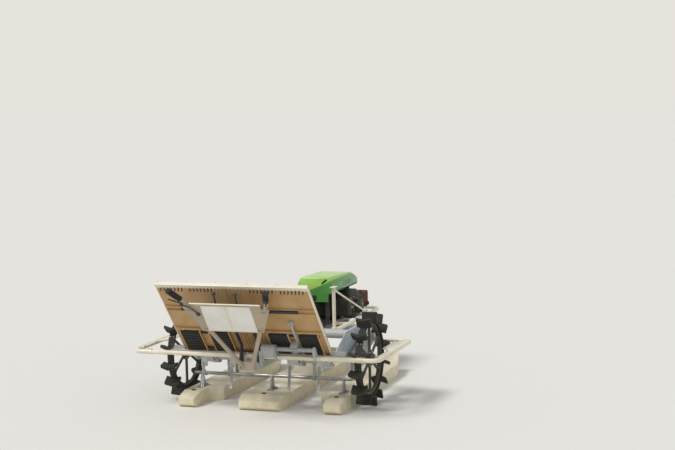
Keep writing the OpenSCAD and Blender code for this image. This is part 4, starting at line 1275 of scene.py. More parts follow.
    def filter_lid(self) -> None:
        """Adds the air cleaner's wing nut and its two spring clips."""
        knob = Work.turned("air_cleaner_knob", self.filter_knob, 18)
        wing = Work.block("wing", self.wing_low, self.wing_high).soften(1.5)
        knob.join([wing]).place(at(self.filter_at, (0, -1, 0)))
        knob.done(self.body, Paint.ZINC_PLATE, "steel_bare")
        clip = Work.tube("air_cleaner_clips", [(0, y, z) for y, z in self.clip_line], self.clip_r)
        clip.spread([shift((x, 0, 0)) for x in self.clip_x])
        clip.done(self.body, Paint.ZINC_PLATE, "steel_bare")


@dataclass(frozen=True)
class Hood(Assembly):
    """The hinged moulded hood with its hand slot, louvre lips, seal and latch."""

    body: str = "hood"
    # Half width, ends and lower edge, and how the rear wall drops and slopes
    half: float = 128.0
    rear: float = 500.0
    front: float = 1076.0
    bottom: float = 604.0
    rear_drop: float = 20.0
    rear_slope: Pair = (20.0, 132.0)
    # Hand slot: Y and Z of its middle, its lean in degrees and its half size
    slot_at: Pair = (-70.0, 685.0)
    slot_lean: float = 40.0
    slot_half: Pair = (23.7, 6.2)
    # Its lining: back and face, then the rim's width and how deep it is sunk within
    lining: Pair = (-7.0, 0.8)
    lining_rim: Pair = (2.0, -5.5)
    latch_low: Triple = (491.0, -13.0, 552.0)
    latch_high: Triple = (499.5, 13.0, 590.0)
    louvre_x: float = 770.0
    louvre_up: float = 22.0
    louvre_step: float = 34.0
    louvres_each: int = 5
    # A louvre lip: X and Z of its corners, how far it stands out, and the share left at its rear
    lip_low: Pair = (-3.0, -2.0)
    lip_high: Pair = (14.0, 36.0)
    lip_out: Pair = (-0.4, 3.4)
    lip_flat: float = 0.15
    # Edge seal: in from the rear, across from the wall, and up from the lower edge
    seal_in: float = 6.0
    seal_out: Pair = (-3.4, 1.2)
    seal_up: Pair = (-3.0, 4.5)
    skins: tuple[Skin, ...] = (Skin("hood", Paint.HOOD_ABS, "hood_green", 1.0, True),)

    def rear_at(self, z: float) -> float:
        """Returns where the sloping rear wall is at a height."""
        run, rise = self.rear_slope
        return self.rear + run * (z - self.bottom + self.rear_drop) / rise

    def details(self) -> None:
        """Adds the slot's lining, the louvre lips, the rubber latch and the seal along the edge."""
        self.slot_lining()
        self.louvres()
        self.latch()
        self.edge_seal()

    def slot_lining(self) -> None:
        """Sinks the dark lining of the slanted hand slot into the rear wall."""
        y, z = self.slot_at
        lean = math.radians(self.slot_lean)
        long = Vector((0, math.cos(lean), -math.sin(lean)))
        out = Vector((-1, 0, 0.15)).normalized()
        turn = Matrix((long, out.cross(long), out)).transposed().to_4x4()
        wide, high = self.slot_half
        back, face = self.lining
        lining = Work.block("hood_slot_lining", (-wide, -high, back), (wide, high, face))
        lining.inset(facing((0, 0, 1)), *self.lining_rim).soften(0.5)
        lining.place(shift((self.rear_at(z), y, z)) @ turn)
        lining.done(self.body, Paint.DARK_RESIN_AND_SHADE, "frame_dark")

    def louvres(self) -> None:
        """Adds a pressed lip along each cooling slot."""
        lips = []
        for side in SIDES:
            inner, outer = sorted(side * (self.half + out) for out in self.lip_out)
            (rear, foot), (front, head) = self.lip_low, self.lip_high
            lip = Work.block("hood_louvre_lips", (rear, inner, foot), (front, outer, head))
            lip.pick(facing((-1, 0, 0)))
            flat = (0, side * self.half * MM, 0)
            lip.run(bpy.ops.transform.resize, value=(1, self.lip_flat, 1), center_override=flat)
            along = [self.louvre_x + self.louvre_step * k for k in range(self.louvres_each)]
            spots = [shift((x, 0, self.bottom + self.louvre_up)) for x in along]
            lips.append(lip.soften(0.8).spread(spots))
        lips[0].join(lips[1:]).done(self.body, Paint.HOOD_ABS, "hood_green")

    def latch(self) -> None:
        """Adds the rubber latch at the rear wall."""
        latch = Work.block("hood_latch", self.latch_low, self.latch_high)
        latch.inset(facing((-1, 0, 0)), 4.0, 2.5).soften(1.5)
        latch.done(self.body, Paint.GRIP_RUBBER, "grip_rubber")

    def edge_seal(self) -> None:
        """Adds the rubber seal along each side's lower edge."""
        strips = []
        for side in SIDES:
            inner, outer = sorted(side * (self.half + out) for out in self.seal_out)
            under, over = self.seal_up
            low = (self.rear + self.seal_in, inner, self.bottom + under)
            high = (self.front, outer, self.bottom + over)
            strips.append(Work.block("hood_edge_seal", low, high).soften(1.2))
        strips[0].join(strips[1:]).done(self.body, Paint.GRIP_RUBBER, "grip_rubber")


@dataclass(frozen=True)
class DriveCases(Assembly):
    """Gear case, axle tubes, swing cases and the sheet guards beside them."""

    # Drive shaft in the gear case, with the case's halves bolted along their seam
    drive: Pair = (60.0, 400.0)
    axle: Pair = AXLE
    seam_half: float = 7.0
    seam_bolts: Pairs = (
        (-45.0, 345.0),
        (-45.0, 415.0),
        (20.0, 304.0),
        (180.0, 326.0),
        (253.0, 370.0),
        (253.0, 450.0),
        (190.0, 494.0),
        (-10.0, 465.0),
    )
    # Swing cases: outer face and bolt rows round both ends, and the pivot's cap
    swing_face: float = 556.3
    swing_rows: Pair = (54.0, 48.0)
    cap_face: float = 582.3
    cap_row: float = 22.5
    # Flanges: the face's distance from the middle plane, and the radius of its bolts
    inner_flange: Pair = (91.3, 43.0)
    outer_flange: Pair = (509.7, 42.0)
    rear_flange: Triple = (-64.3, 0.0, 350.0)
    rear_flange_row: float = 39.0
    # Filler cap and drain plug of the gear case
    case_cap_at: Triple = (40.0, 0.0, 501.5)
    case_cap: Pairs = ((24, 2), (26, 3), (26, 12), (23, 14), (13, 14), (12, 19), (9, 20))
    drain_at: Triple = (60.0, 28.0, 313.6)
    drain_way: Triple = (0.14, 0.0, -1.0)
    # Nut and pin at the end of the wheel shafts
    nut_face: float = 684.0
    nut: Pairs = ((23, 8), (20, 9), (20, 9.5))
    pin_y: float = 692.3
    pin_line: tuple[Triple, ...] = ((-19, 0, 0), (18, 0, 0), (22, 0, 5))
    pin_r: float = 1.8
    pin_way: Triple = (0.4, 0.0, 1.0)
    skins: tuple[Skin, ...] = (
        Skin("gear_case", Paint.GREY_CASTING, "cast_grey", 3.0),
        Skin("axle_tubes", Paint.GREY_CASTING, "cast_grey", 2.0),
        Skin("swing_case_left", Paint.GREY_CASTING, "cast_grey", 2.5),
        Skin("swing_case_right", Paint.GREY_CASTING, "cast_grey", 2.5),
        Skin("mudguards", Paint.GUARD_SHEET, "guard_grey"),
    )

    def details(self) -> None:
        """Adds the bolts of cases and flanges, the filler's cap and drain, and the wheel nuts."""
        self.case_bolts()
        self.flange_bolts()
        self.filler()
        self.wheel_nuts()

    def case_bolts(self) -> None:
        """Bolts the gear case's seam, the swing cases' rims and their pivot caps."""
        x, z = self.drive
        one, two = self.swing_rows
        bolts = [
            at((seam_x, side * self.seam_half, seam_z), (0, side, 0))
            for seam_x, seam_z in self.seam_bolts
            for side in SIDES
        ]
        for side in SIDES:
            bolts += rim_of(self.drive, one, self.axle, two, side * self.swing_face, side)
            bolts += circle_of((x, side * self.cap_face, z), (0, side, 0), self.cap_row, 4, 45)
        Thread.M5.fit("case_rim_bolts", self.body, bolts)

    def flange_bolts(self) -> None:
        """Bolts the axle tubes' flanges at both ends, and the planting drive's flange."""
        x, z = self.drive
        bolts = []
        for side in SIDES:
            face, row = self.inner_flange
            bolts += circle_of((x, side * face, z), (0, side, 0), row, 6)
            face, row = self.outer_flange
            bolts += circle_of((x, side * face, z), (0, -side, 0), row, 6)
        bolts += circle_of(self.rear_flange, (-1, 0, 0), self.rear_flange_row, 4, 45)
        Thread.M6.fit("flange_bolts", self.body, bolts)

    def filler(self) -> None:
        """Adds the gear case's filler cap and its drain plug."""
        cap = Work.turned("gear_case_cap", self.case_cap, 12).place(at(self.case_cap_at))
        cap.done(self.body, Paint.DARK_RESIN_AND_SHADE, "frame_dark")
        Thread.M10.fit("gear_case_drain", self.body, [at(self.drain_at, self.drain_way)])

    def wheel_nuts(self) -> None:
        """Adds the nut and the bent pin at the end of each wheel shaft."""
        x, z = self.axle
        nuts = Work.turned("wheel_nuts", self.nut, 6)
        nuts.spread([at((x, side * self.nut_face, z), (0, side, 0)) for side in SIDES])
        nuts.done(self.body, Paint.ZINC_PLATE, "steel_bare", CRISP)
        pins = Work.tube("wheel_pins", self.pin_line, self.pin_r)
        pins.spread([at((x, side * self.pin_y, z), self.pin_way) for side in SIDES])
        pins.done(self.body, Paint.ZINC_PLATE, "steel_bare")


@dataclass(frozen=True)
class Wheel(Assembly):
    """One lugged wheel with its hub bolts, weld collars and lug bolts."""

    # The wheel's own side, and the distance between both wheels' middles
    side: int = 1
    track: float = 1300.0
    axle: Pair = AXLE
    # Hub flange and its bolts, and the band's outer face that carries the lugs
    hub_half: float = 5.0
    hub_row: float = 46.0
    band_face: float = 246.9
    spokes: int = 6
    # Weld collars at both ends of a spoke, as radii from the axle
    collar_feet: Pair = (32.0, 216.0)
    collar: Pairs = ((13, 2), (12.2, 6), (9.6, 12), (8.6, 13))
    lugs: int = 14
    lug_bolt: Pairs = ((8, 1.2), (7, 1.6), (6.4, 4), (4.5, 5.2))
    # Bolts of a lug: degrees and millimetres from its middle
    lug_bolt_turn: float = 6.5
    lug_bolt_off: float = 12.0

    @classmethod
    def on(cls, side: int) -> "Wheel":
        """Makes the wheel of one side.

        Args:
            side: +1 for the left wheel, -1 for the right one.

        Returns:
            The wheel, with the copies of its two nodes, on its own body.
        """
        word = "left" if side > 0 else "right"
        skins = (
            Skin("wheel_" + word, Paint.WHEEL_ENAMEL, "wheel_dark", 1.2),
            Skin("lugs_" + word, Paint.LUG_RUBBER, "lug_rubber", 2.5),
        )
        return cls(body="wheel_" + word, skins=skins, side=side)

    def details(self) -> None:
        """Adds the hub's bolts, the spokes' collars and the lugs' bolts."""
        self.hub_bolts()
        self.collars()
        self.lug_bolts()

    def spot(self, radius: float, angle: float, off: float = 0.0) -> Vector:
        """Finds a point of the wheel.

        Args:
            radius: Distance from the axle in millimetres.
            angle: Angle from straight ahead in degrees, as in the CAD.
            off: Distance from the wheel's middle plane towards +Y.

        Returns:
            The point in millimetres.
        """
        lean = math.radians(angle)
        y = self.side * self.track / 2 + off
        return Vector((self.axle[0] + radius * math.cos(lean), y, self.axle[1] + radius * math.sin(lean)))

    def outward(self, angle: float) -> Vector:
        """Returns the direction away from the axle at an angle in degrees."""
        return self.spot(1, angle) - self.spot(0, angle)

    def hub_bolts(self) -> None:
        """Bolts the hub's flange from both sides."""
        places = []
        for way in SIDES:
            places += circle_of(self.spot(0, 0, way * self.hub_half), (0, way, 0), self.hub_row, 6)
        Thread.M8.fit(self.body + "_hub_bolts", self.body, places)

    def collars(self) -> None:
        """Adds the weld collars where the spokes meet hub and rim."""
        hub, rim = self.collar_feet
        places = []
        for k in range(self.spokes):
            angle = 360 * (k + 0.5) / self.spokes
            out = self.outward(angle)
            places += [at(self.spot(hub, angle), out), at(self.spot(rim, angle), -out)]
        collars = Work.turned(self.body + "_weld_collars", self.collar).spread(places)
        collars.done(self.body, Paint.WHEEL_ENAMEL, "wheel_dark")

    def lug_bolts(self) -> None:
        """Adds the round-headed bolts that hold each lug to the band."""
        places = []
        for k in range(self.lugs):
            for way in SIDES:
                angle = 360 * k / self.lugs - 90 + self.lug_bolt_turn * way
                for off in (self.lug_bolt_off, -self.lug_bolt_off):
                    places.append(at(self.spot(self.band_face, angle, off), self.outward(angle)))
        heads = Work.turned(self.body + "_lug_bolts", self.lug_bolt, 12).spread(places)
        heads.done(self.body, Paint.BLACK_ENAMEL, "frame_dark")


@dataclass(frozen=True)
class PlantingUnit(Assembly):
    """Head cases, cranks, arms and forks of the four rows."""

    # Pins and shafts of a head case and its arms at rest
    shaft: Pair = (-390.0, 320.0)
    pivot: Pair = (-305.0, 372.0)
    beam: Pair = (-262.0, 335.0)
    crank_pin: Pair = (-419.5, 299.4)
    rocker_pin: Pair = (-320.9, 263.2)
    holder: Pair = (-518.1, 335.5)
    # Rows beyond this are the outer ones, and the fork's lean is in degrees
    outer_row: float = 300.0
    lean: float = 11.53
    # Push rod and pusher, measured from the fork's holder
    rod_x: float = -11.5
    rod_span: Pair = (-60.0, -172.0)
    rod_r: float = 2.2
    pusher_low: Triple = (-15.0, -2.7, -184.0)
    pusher_high: Triple = (-8.5, 2.7, -170.0)
    arm_w: float = 36.0
    cover_out: float = 4.0
    arm_bolts: Pairs = ((-462.0, 314.8), (-372.0, 282.0))
    arm_cover: Pairs = ((19, 2.5), (17.5, 4), (8, 4), (7.4, 7), (6, 8))
    # Head cases, and their bolts from shaft, beam and pivot
    head_y: float = 300.0
    head_w: float = 88.0
    shaft_bolts: Pairs = ((-24.0, 16.0), (-8.0, -28.0), (8.0, 29.0))
    beam_bolts: Pairs = ((26.0, 8.0), (4.0, -27.0))
    pivot_bolts: Pairs = ((17.0, 5.0),)
    skins: tuple[Skin, ...] = (
        Skin("planter_drive", Paint.GREY_CASTING, "cast_grey", 2.5),
        Skin("cranks", Paint.ZINC_PLATE, "steel_bare"),
        Skin("planting_arm_1", Paint.DIE_CASTING, "arm_alloy", 2.0),
        Skin("planting_arm_2", Paint.DIE_CASTING, "arm_alloy", 2.0),
        Skin("planting_arm_3", Paint.DIE_CASTING, "arm_alloy", 2.0),
        Skin("planting_arm_4", Paint.DIE_CASTING, "arm_alloy", 2.0),
        Skin("forks", Paint.ZINC_PLATE, "steel_bare", 0.6),
    )

    def details(self) -> None:
        """Adds the arms' covers and bolts, the push rods and the head cases' bolts."""
        self.arm_covers()
        self.push_rods()
        self.head_bolts()

    def arm_covers(self) -> None:
        """Adds the turned cover and the bolts to each arm's face that looks away from its head case."""
        covers, bolts = [], []
        for row in ROWS:
            out = 1 if (abs(row) > self.outer_row) == (row > 0) else -1
            face = row + out * self.arm_w / 2
            x, z = self.crank_pin
            covers.append(at((x, face + out * self.cover_out, z), (0, out, 0)))
            for x, z in (self.rocker_pin, self.holder, *self.arm_bolts):
                bolts.append(at((x, face, z), (0, out, 0)))
        cover = Work.turned("arm_covers", self.arm_cover, 32).spread(covers)
        cover.done(self.body, Paint.DIE_CASTING, "arm_alloy")
        Thread.M6.fit("arm_bolts", self.body, bolts)

    def push_rods(self) -> None:
        """Hangs the pusher's rod and foot beside each fork."""
        turn = Matrix.Rotation(math.radians(self.lean), 4, "Y")
        places = [shift((self.holder[0], row, self.holder[1])) @ turn for row in ROWS]
        ends = [(self.rod_x, 0, z) for z in self.rod_span]
        rod = Work.rod("push_rods", *ends, self.rod_r, 12)
        pusher = Work.block("pusher", self.pusher_low, self.pusher_high).soften(1.0)
        rod.join([pusher]).spread(places).done(self.body, Paint.ZINC_PLATE, "steel_bare")

    def head_bolts(self) -> None:
        """Bolts both faces of each head case round its shaft, beam and pivot."""
        groups = (
            (self.shaft, self.shaft_bolts),
            (self.beam, self.beam_bolts),
            (self.pivot, self.pivot_bolts),
        )
        bolts = []
        for side in SIDES:
            for way in SIDES:
                y = side * self.head_y + way * self.head_w / 2
                for (x, z), offsets in groups:
                    bolts += [at((x + ahead, y, z + up), (0, way, 0)) for ahead, up in offsets]
        Thread.M5.fit("head_case_bolts", self.body, bolts)


@dataclass(frozen=True)
class TrayDrive(Assembly):
    """What carries and drives the tray: support bar, traverse screw and guide rail."""

    box_face: float = -176.0
    box_bolts: Pairs = ((-729.0, 428.0), (-711.0, 451.0), (-714.0, 402.0), (-687.0, 412.0))
    strut_face: float = 65.0
    strut_bolts: Pairs = ((-727.0, 352.0), (-706.0, 352.0), (-905.0, 668.0))
    skins: tuple[Skin, ...] = (
        Skin("guide_rail", Paint.ZINC_PLATE, "steel_bare"),
        Skin("tray_support", Paint.BLACK_ENAMEL, "frame_dark"),
        Skin("feed_screw", Paint.GREY_CASTING, "cast_grey"),
    )

    def details(self) -> None:
        """Adds the bolts of the screw's drive box and of the struts."""
        box = [at((x, self.box_face, z), (0, -1, 0)) for x, z in self.box_bolts]
        Thread.M5.fit("drive_box_bolts", self.body, box)
        face = self.strut_face
        struts = [at((x, side * face, z), (0, side, 0)) for side in SIDES for x, z in self.strut_bolts]
        Thread.M6.fit("strut_bolts", self.body, struts)


@dataclass(frozen=True)
class Tray(Assembly):
    """The sliding tray with its top rail, belts and follower.

    Places on it are along its slope from its low end, across towards the machine's right, and out
    of its loading side.
    """

    body: str = "tray"
    foot: Triple = (-592.0, 0.0, 380.0)
    lean: float = 49.0
    length: float = 640.0
    # Comb recesses: below the top, lean in degrees, spacing, and the dark lining of one, which is painted
    # shade in the recess
    comb_drop: float = 22.0
    comb_lean: float = 18.0
    comb_step: float = 24.0
    shade_lining_low: Triple = (-39.2, -3.9, 1.2)
    shade_lining_high: Triple = (-0.8, 3.9, 2.9)
    # Mat rods: ends and height of the bar across, and the line of each rod
    half_in: float = 105.0
    half_out: float = 495.0
    bar_at: Pair = (262.0, 35.0)
    bar_r: float = 3.2
    bracket_low: Triple = (-10.0, -3.0, -11.0)
    bracket_high: Triple = (10.0, 3.0, 4.0)
    rod_line: Pairs = ((262, 35), (230, 26), (120, 20), (34, 15))
    rod_r: float = 2.0
    rods_across: tuple[float, ...] = (-54.0, -18.0, 18.0, 54.0)
    follower_bolts: tuple[Triple, ...] = (
        (318.0, 316.0, -23.2),
        (30.0, 316.0, -20.2),
        (116.0, 284.0, -37.3),
        (116.0, 316.0, -37.3),
    )
    skins: tuple[Skin, ...] = (
        Skin("tray_left", Paint.TAN_RESIN, "tray_tan", 1.2),
        Skin("tray_right", Paint.TAN_RESIN, "tray_tan", 1.2),
        Skin("tray_centre", Paint.TAN_RESIN, "tray_tan", 1.2),
        Skin("tray_top_rail", Paint.CREAM_RESIN, "rail_cream", 1.5),
        Skin("feed_belts", Paint.BELT_RUBBER, "belt_rubber", 0.8),
        Skin("tray_follower", Paint.GREY_CASTING, "cast_grey", 1.5),
    )

    @property
    def slope(self) -> Matrix:
        """The tray's own frame."""
        return sloped(self.foot, math.radians(self.lean))

    def details(self) -> None:
        """Adds the dark linings that paint the shade in the comb's recesses, the mat rods and the follower's
        bolts.
        """
        self.comb_shade_linings()
        self.mat_rods()
        bolts = [self.slope @ at(place, (0, 0, -1)) for place in self.follower_bolts]
        Thread.M6.fit("follower_bolts", self.body, bolts)

    def comb_shade_linings(self) -> None:
        """Lines the seven slanted recesses at the top of each row with dark strips that are painted shade.
        """
        turn = Matrix.Rotation(math.radians(self.comb_lean), 4, "Z")
        along = self.length - self.comb_drop
        across = [self.comb_step * k - row for row in ROWS for k in range(-3, 4)]
        # Thin dark strips that stand for the shade inside each recess
        lining = Work.block("comb_shade_linings", self.shade_lining_low, self.shade_lining_high).soften(0.4)
        lining.spread([self.slope @ shift((along, y, 0)) @ turn for y in across])
        lining.done(self.body, Paint.DARK_RESIN_AND_SHADE, "frame_dark")

    def mat_rods(self) -> None:
        """Adds the thin rods that hold the mats down at the tray's low end."""
        x, z = self.bar_at
        pieces = []
        for side in SIDES:
            low, high = sorted((side * self.half_in, side * self.half_out))
            pieces.append(Work.rod("mat_rods", (x, low, z), (x, high, z), self.bar_r, 12))
            for y in (self.half_in, (self.half_in + self.half_out) / 2, self.half_out):
                spot = Vector((x, side * y, z))
                corners = (spot + Vector(self.bracket_low), spot + Vector(self.bracket_high))
                pieces.append(Work.block("bracket", *corners).soften(1.0))
            for row in ROWS[2:]:
                for off in self.rods_across:
                    line = [(along, side * row + off, out) for along, out in self.rod_line]
                    pieces.append(Work.tube("rod", line, self.rod_r))
        rods = pieces[0].join(pieces[1:]).place(self.slope)
        rods.done(self.body, Paint.ZINC_PLATE, "steel_bare")


@dataclass(frozen=True)
class Floats(Assembly):
    """Three blow-moulded floats with their parting lines, and the links that hold them."""

    # Upper face, how far it is sunk within its rim, and the rounding of the edges
    top: float = 92.0
    sunk_above: float = 80.0
    sunk_rim: float = 12.0
    sunk: float = 3.0
    edge: float = 7.0
    # Parting line of the moulding
    seam_z: float = 50.0
    seam_half: float = 1.6
    # Pads under the brackets of the pipe and of the links, as half length and half width
    pipe_x: float = -350.0
    side_y: float = 497.0
    pipe_pad: Pair = (52.0, 20.0)
    link_pad: Pair = (27.0, 20.0)
    pad_t: float = 1.6
    pad_sunk: float = 4.0
    pad_bolt_in: float = 8.0
    links: Pairs = ((653.0, 0.0), (60.0, 420.0), (60.0, -420.0))
    plug_x: float = -500.0
    plug: Pairs = ((13, 2), (14.5, 3), (14.5, 7), (12, 9), (5, 9), (4, 7.5))
    moulded: tuple[Skin, ...] = (
        Skin("centre_float", Paint.FLOAT_RESIN, "float_cream"),
        Skin("side_float_left", Paint.FLOAT_RESIN, "float_cream"),
        Skin("side_float_right", Paint.FLOAT_RESIN, "float_cream"),
    )
    skins: tuple[Skin, ...] = (Skin("float_links", Paint.ZINC_PLATE, "steel_bare"),)

    def build(self) -> None:
        """Builds the floats with sunk tops and seams, then the links and their bolts."""
        for skin in self.moulded:
            work = Work.cad_copy(skin.node + "_finished", skin.node)
            work.inset(self.on_top, self.sunk_rim, -self.sunk)
            skin.make(self.body, work.soften(self.edge, 3))
            self.seam(skin)
        super().build()

    def on_top(self, middle: Vector, normal: Vector) -> bool:
        """Takes the flat upper face of a float."""
        return normal.z > 0.999 and middle.z > self.sunk_above * MM

    def seam(self, skin: Skin) -> None:
        """Cuts a thin slice of a float and swells it into the moulding's parting line.

        Args:
            skin: The float's finished copy.
        """
        cut = Work.cad_copy(skin.node + "_seam", skin.node)
        for way in (-1, 1):
            cut.pick(everywhere).run(
                bpy.ops.mesh.bisect,
                plane_co=(0, 0, (self.seam_z + way * self.seam_half) * MM),
                plane_no=(0, 0, way),
                use_fill=True,
                clear_outer=True,
            )
        cut.pick(lambda middle, normal: abs(normal.z) < 0.7)
        cut.run(bpy.ops.transform.shrink_fatten, value=self.seam_half * MM)
        cut.soften(0.6).done(self.body, skin.paint, skin.slot)

    def details(self) -> None:
        """Adds the brackets' pads and bolts, and the drain plugs."""
        middles = (0, -self.side_y, self.side_y)
        pads = [(self.pipe_x, y, *self.pipe_pad) for y in middles]
        pads += [(x, y, *self.link_pad) for x, y in self.links]
        plates, bolts = [], []
        for x, y, long, wide in pads:
            low = (x - long, y - wide, self.top - self.pad_sunk)
            high = (x + long, y + wide, self.top + self.pad_t)
            plates.append(Work.block("float_pads", low, high).soften(1.0))
            long, wide = long - self.pad_bolt_in, wide - self.pad_bolt_in
            corners = [(x + one * long, y + two * wide) for one in SIDES for two in SIDES]
            bolts += [at((*corner, self.top + self.pad_t - 0.2)) for corner in corners]
        plates[0].join(plates[1:]).done(self.body, Paint.ZINC_PLATE, "steel_bare")
        Thread.M6.fit("float_bolts", self.body, bolts)
        plugs = Work.turned("float_plugs", self.plug, 12)
        plugs.spread([at((self.plug_x, y, self.top - self.pad_sunk)) for y in sorted(middles)])
        plugs.done(self.body, Paint.DARK_RESIN_AND_SHADE, "frame_dark")


@dataclass(frozen=True)
class Handle(Assembly):
    """Forked handlebar with its panel, plates, levers and grips.

    Places in the bars' own frame are along their slope from the foot plate, across towards the
    machine's right, and out of the slope's upper face.
    """

    # Middle line of the left bar: foot, shoulder and tip, and its length on the slope
    foot: Triple = (-766.0, 36.0, 326.0)
    shoulder: Triple = (-1090.0, 268.0, 770.0)
    tip: Triple = (-1240.0, 320.0, 868.0)
    length: float = 549.6
    bar_r: float = 14.0
    # Panel's lower face and edges, its bolts along the slope and across a bar, and its plates'
    # length and width with their distance from the panel's lower edge and from its middle
    face: float = -17.3
    panel_low: float = 320.0
    panel_bolts: Pair = (338.0, 500.0)
    panel_bolt_off: float = 9.0
    tongue: float = 556.0
    tongue_half: float = 233.4
    bead_r: float = 4.5
    plate: Pair = (206.0, 154.0)
    plate_in: Pair = (12.0, 5.0)
    plate_frame: Triple = (108.0, 82.0, 3.4)
    plate_frame_rim: float = 7.0
    # Foot plate's rear face and its bolts, as Y and Z, and how far up the bars their weld beads lie
    foot_plate: float = -762.3
    foot_weld: float = 25.0
    foot_bolts: Pairs = ((55.0, 307.0), (55.0, 337.0))
    # Rubber boots, and the clutch levers' lean in degrees
    boot: Pairs = ((15, 2), (15, 5), (11, 8), (13, 11), (9, 15), (11, 18), (6.4, 23))
    boot_at: Triple = (494.0, 70.0, -4.0)
    boot_lean: float = 76.0
    # Brace between the bars, along the slope
    brace: float = 440.0
    brace_r: float = 10.0
    # Bent hand lever beside the plates
    lever_line: tuple[Triple, ...] = (
        (470, -196, -20),
        (500, -206, -27),
        (528, -222, -30),
        (545, -246, -30),
        (552, -276, -28),
    )
    lever_r: float = 4.2
    lever_knob: Pairs = ((6, 2), (9, 6), (10, 12), (8, 20), (4, 23))
    lever_knob_at: Triple = (551.0, -270.0, -28.0)
    lever_knob_way: Triple = (0.15, -1.0, 0.05)
    lever_base: Pairs = ((15, 2), (13, 6), (7, 8))
    lever_base_at: Triple = (468.0, -195.0, -17.3)
    # Rings of a grip, counted from its tip
    ring: Pairs = ((17.9, 0.4), (19.2, 1.4), (19.2, 3.0), (17.9, 4.0))
    rings: int = 8
    ring_start: float = 22.0
    ring_step: float = 12.0
    skins: tuple[Skin, ...] = (
        Skin("handlebar", Paint.BEIGE_ENAMEL, "frame_beige"),
        Skin("grips", Paint.GRIP_RUBBER, "grip_rubber", 3.0),
        Skin("levers", Paint.BLACK_ENAMEL, "frame_dark", 0.8),
        Skin("back_panel", Paint.PANEL_RESIN, "panel_beige", 0.8),
        Skin("plates", Paint.WHITE_PLATE, "plate_white", 0.5),
    )

    @property
    def slope(self) -> Matrix:
        """The bars' own frame."""
        rise, run = self.shoulder[2] - self.foot[2], self.foot[0] - self.shoulder[0]
        return sloped((self.foot[0], 0, self.foot[2]), math.atan2(rise, run))

    def bar_y(self, along: float) -> float:
        """Returns how far a tube's middle is from the middle plane, at a place along the slope."""
        return self.foot[1] + (self.shoulder[1] - self.foot[1]) * along / self.length

    def details(self) -> None:
        """Adds the small pieces of panel, foot, levers and grips."""
        self.plate_frames()
        self.panel_bead()
        self.bolts()
        self.lever_boots()
        self.welds()
        self.side_lever()
        self.grip_rings()

    def plate_frames(self) -> None:
        """Adds a moulded frame round each bare plate."""
        half, wide, thick = self.plate_frame
        frames = Work.block("plate_frames", (-half, -wide, 0), (half, wide, thick))
        frames.frame_only(self.plate_frame_rim).soften(0.9)
        back = Matrix.Rotation(math.pi, 4, "X")
        up, apart = self.plate_in
        along, across = self.panel_low + up + self.plate[0] / 2, self.plate[1] / 2 + apart
        middles = [(along, side * across, self.face - 0.4) for side in SIDES]
        frames.spread([self.slope @ shift(middle) @ back for middle in middles])
        frames.done(self.body, Paint.CREAM_RESIN, "rail_cream")

    def panel_bead(self) -> None:
        """Adds the rolled bead along the panel's upper edge."""
        ends = [(self.tongue, way * self.tongue_half, self.face + 1.5) for way in (-1, 1)]
        bead = Work.rod("panel_bead", *ends, self.bead_r).place(self.slope)
        bead.done(self.body, Paint.CREAM_RESIN, "rail_cream")

    def bolts(self) -> None:
        """Bolts the panel to the tubes and the foot plate to the frame."""
        clamps = [
            self.slope @ at((along, side * (self.bar_y(along) + off), self.face), (0, 0, -1))
            for side in SIDES
            for along in self.panel_bolts
            for off in (-self.panel_bolt_off, self.panel_bolt_off)
        ]
        Thread.M5.fit("panel_bolts", self.body, clamps)
        foot = [at((self.foot_plate, side * y, z), (-1, 0, 0)) for side in SIDES for y, z in self.foot_bolts]
        Thread.M8.fit("handle_foot_bolts", self.body, foot)

    def lever_boots(self) -> None:
        """Adds the ribbed rubber boots where the clutch levers leave the panel."""
        lean = math.radians(self.boot_lean)
        way = (math.sin(lean), 0, math.cos(lean))
        along, across, out = self.boot_at
        boots = Work.turned("lever_boots", self.boot)
        boots.spread([self.slope @ at((along, side * across, out), way) for side in SIDES])
        boots.done(self.body, Paint.GRIP_RUBBER, "grip_rubber")

    def welds(self) -> None:
        """Lays the weld beads where the tubes meet the foot plate and the brace."""
        way = (Vector(self.shoulder) - Vector(self.foot)).normalized()
        start = Vector(self.foot) + way * self.foot_weld
        mirrors = [Vector((1, side, 1)) for side in SIDES]
        feet = [at(start * mirror, way * mirror) for mirror in mirrors]
        beads = Work.weld_beads("handle_foot_welds", self.bar_r, feet)
        beads.done(self.body, Paint.BEIGE_ENAMEL, "frame_beige")
        inner = self.bar_y(self.brace) - self.bar_r - 0.5
        ends = [self.slope @ at((self.brace, side * inner, 0), (0, -side, 0)) for side in SIDES]
        beads = Work.weld_beads("handle_brace_welds", self.brace_r, ends)
        beads.done(self.body, Paint.BEIGE_ENAMEL, "frame_beige")

    def side_lever(self) -> None:
        """Adds the bent hand lever beside the plates."""
        lever = Work.tube("side_lever", self.lever_line, self.lever_r)
        knob = Work.turned("knob", self.lever_knob)
        knob.place(at(self.lever_knob_at, self.lever_knob_way))
        base = Work.turned("base", self.lever_base).place(at(self.lever_base_at, (0, 0, -1)))
        lever.join([knob, base]).place(self.slope)
        lever.done(self.body, Paint.BLACK_ENAMEL, "frame_dark")

    def grip_rings(self) -> None:
        """Adds the moulded rings round each grip."""
        places = []
        for side in SIDES:
            mirror = Vector((1, side, 1))
            tip = Vector(self.tip) * mirror
            way = (tip - Vector(self.shoulder) * mirror).normalized()
            backs = [self.ring_start + self.ring_step * k for k in range(self.rings)]
            places += [at(tip - way * back, way) for back in backs]
        rings = Work.turned("grip_rings", self.ring).spread(places)
        rings.done(self.body, Paint.GRIP_RUBBER, "grip_rubber")


# Studio


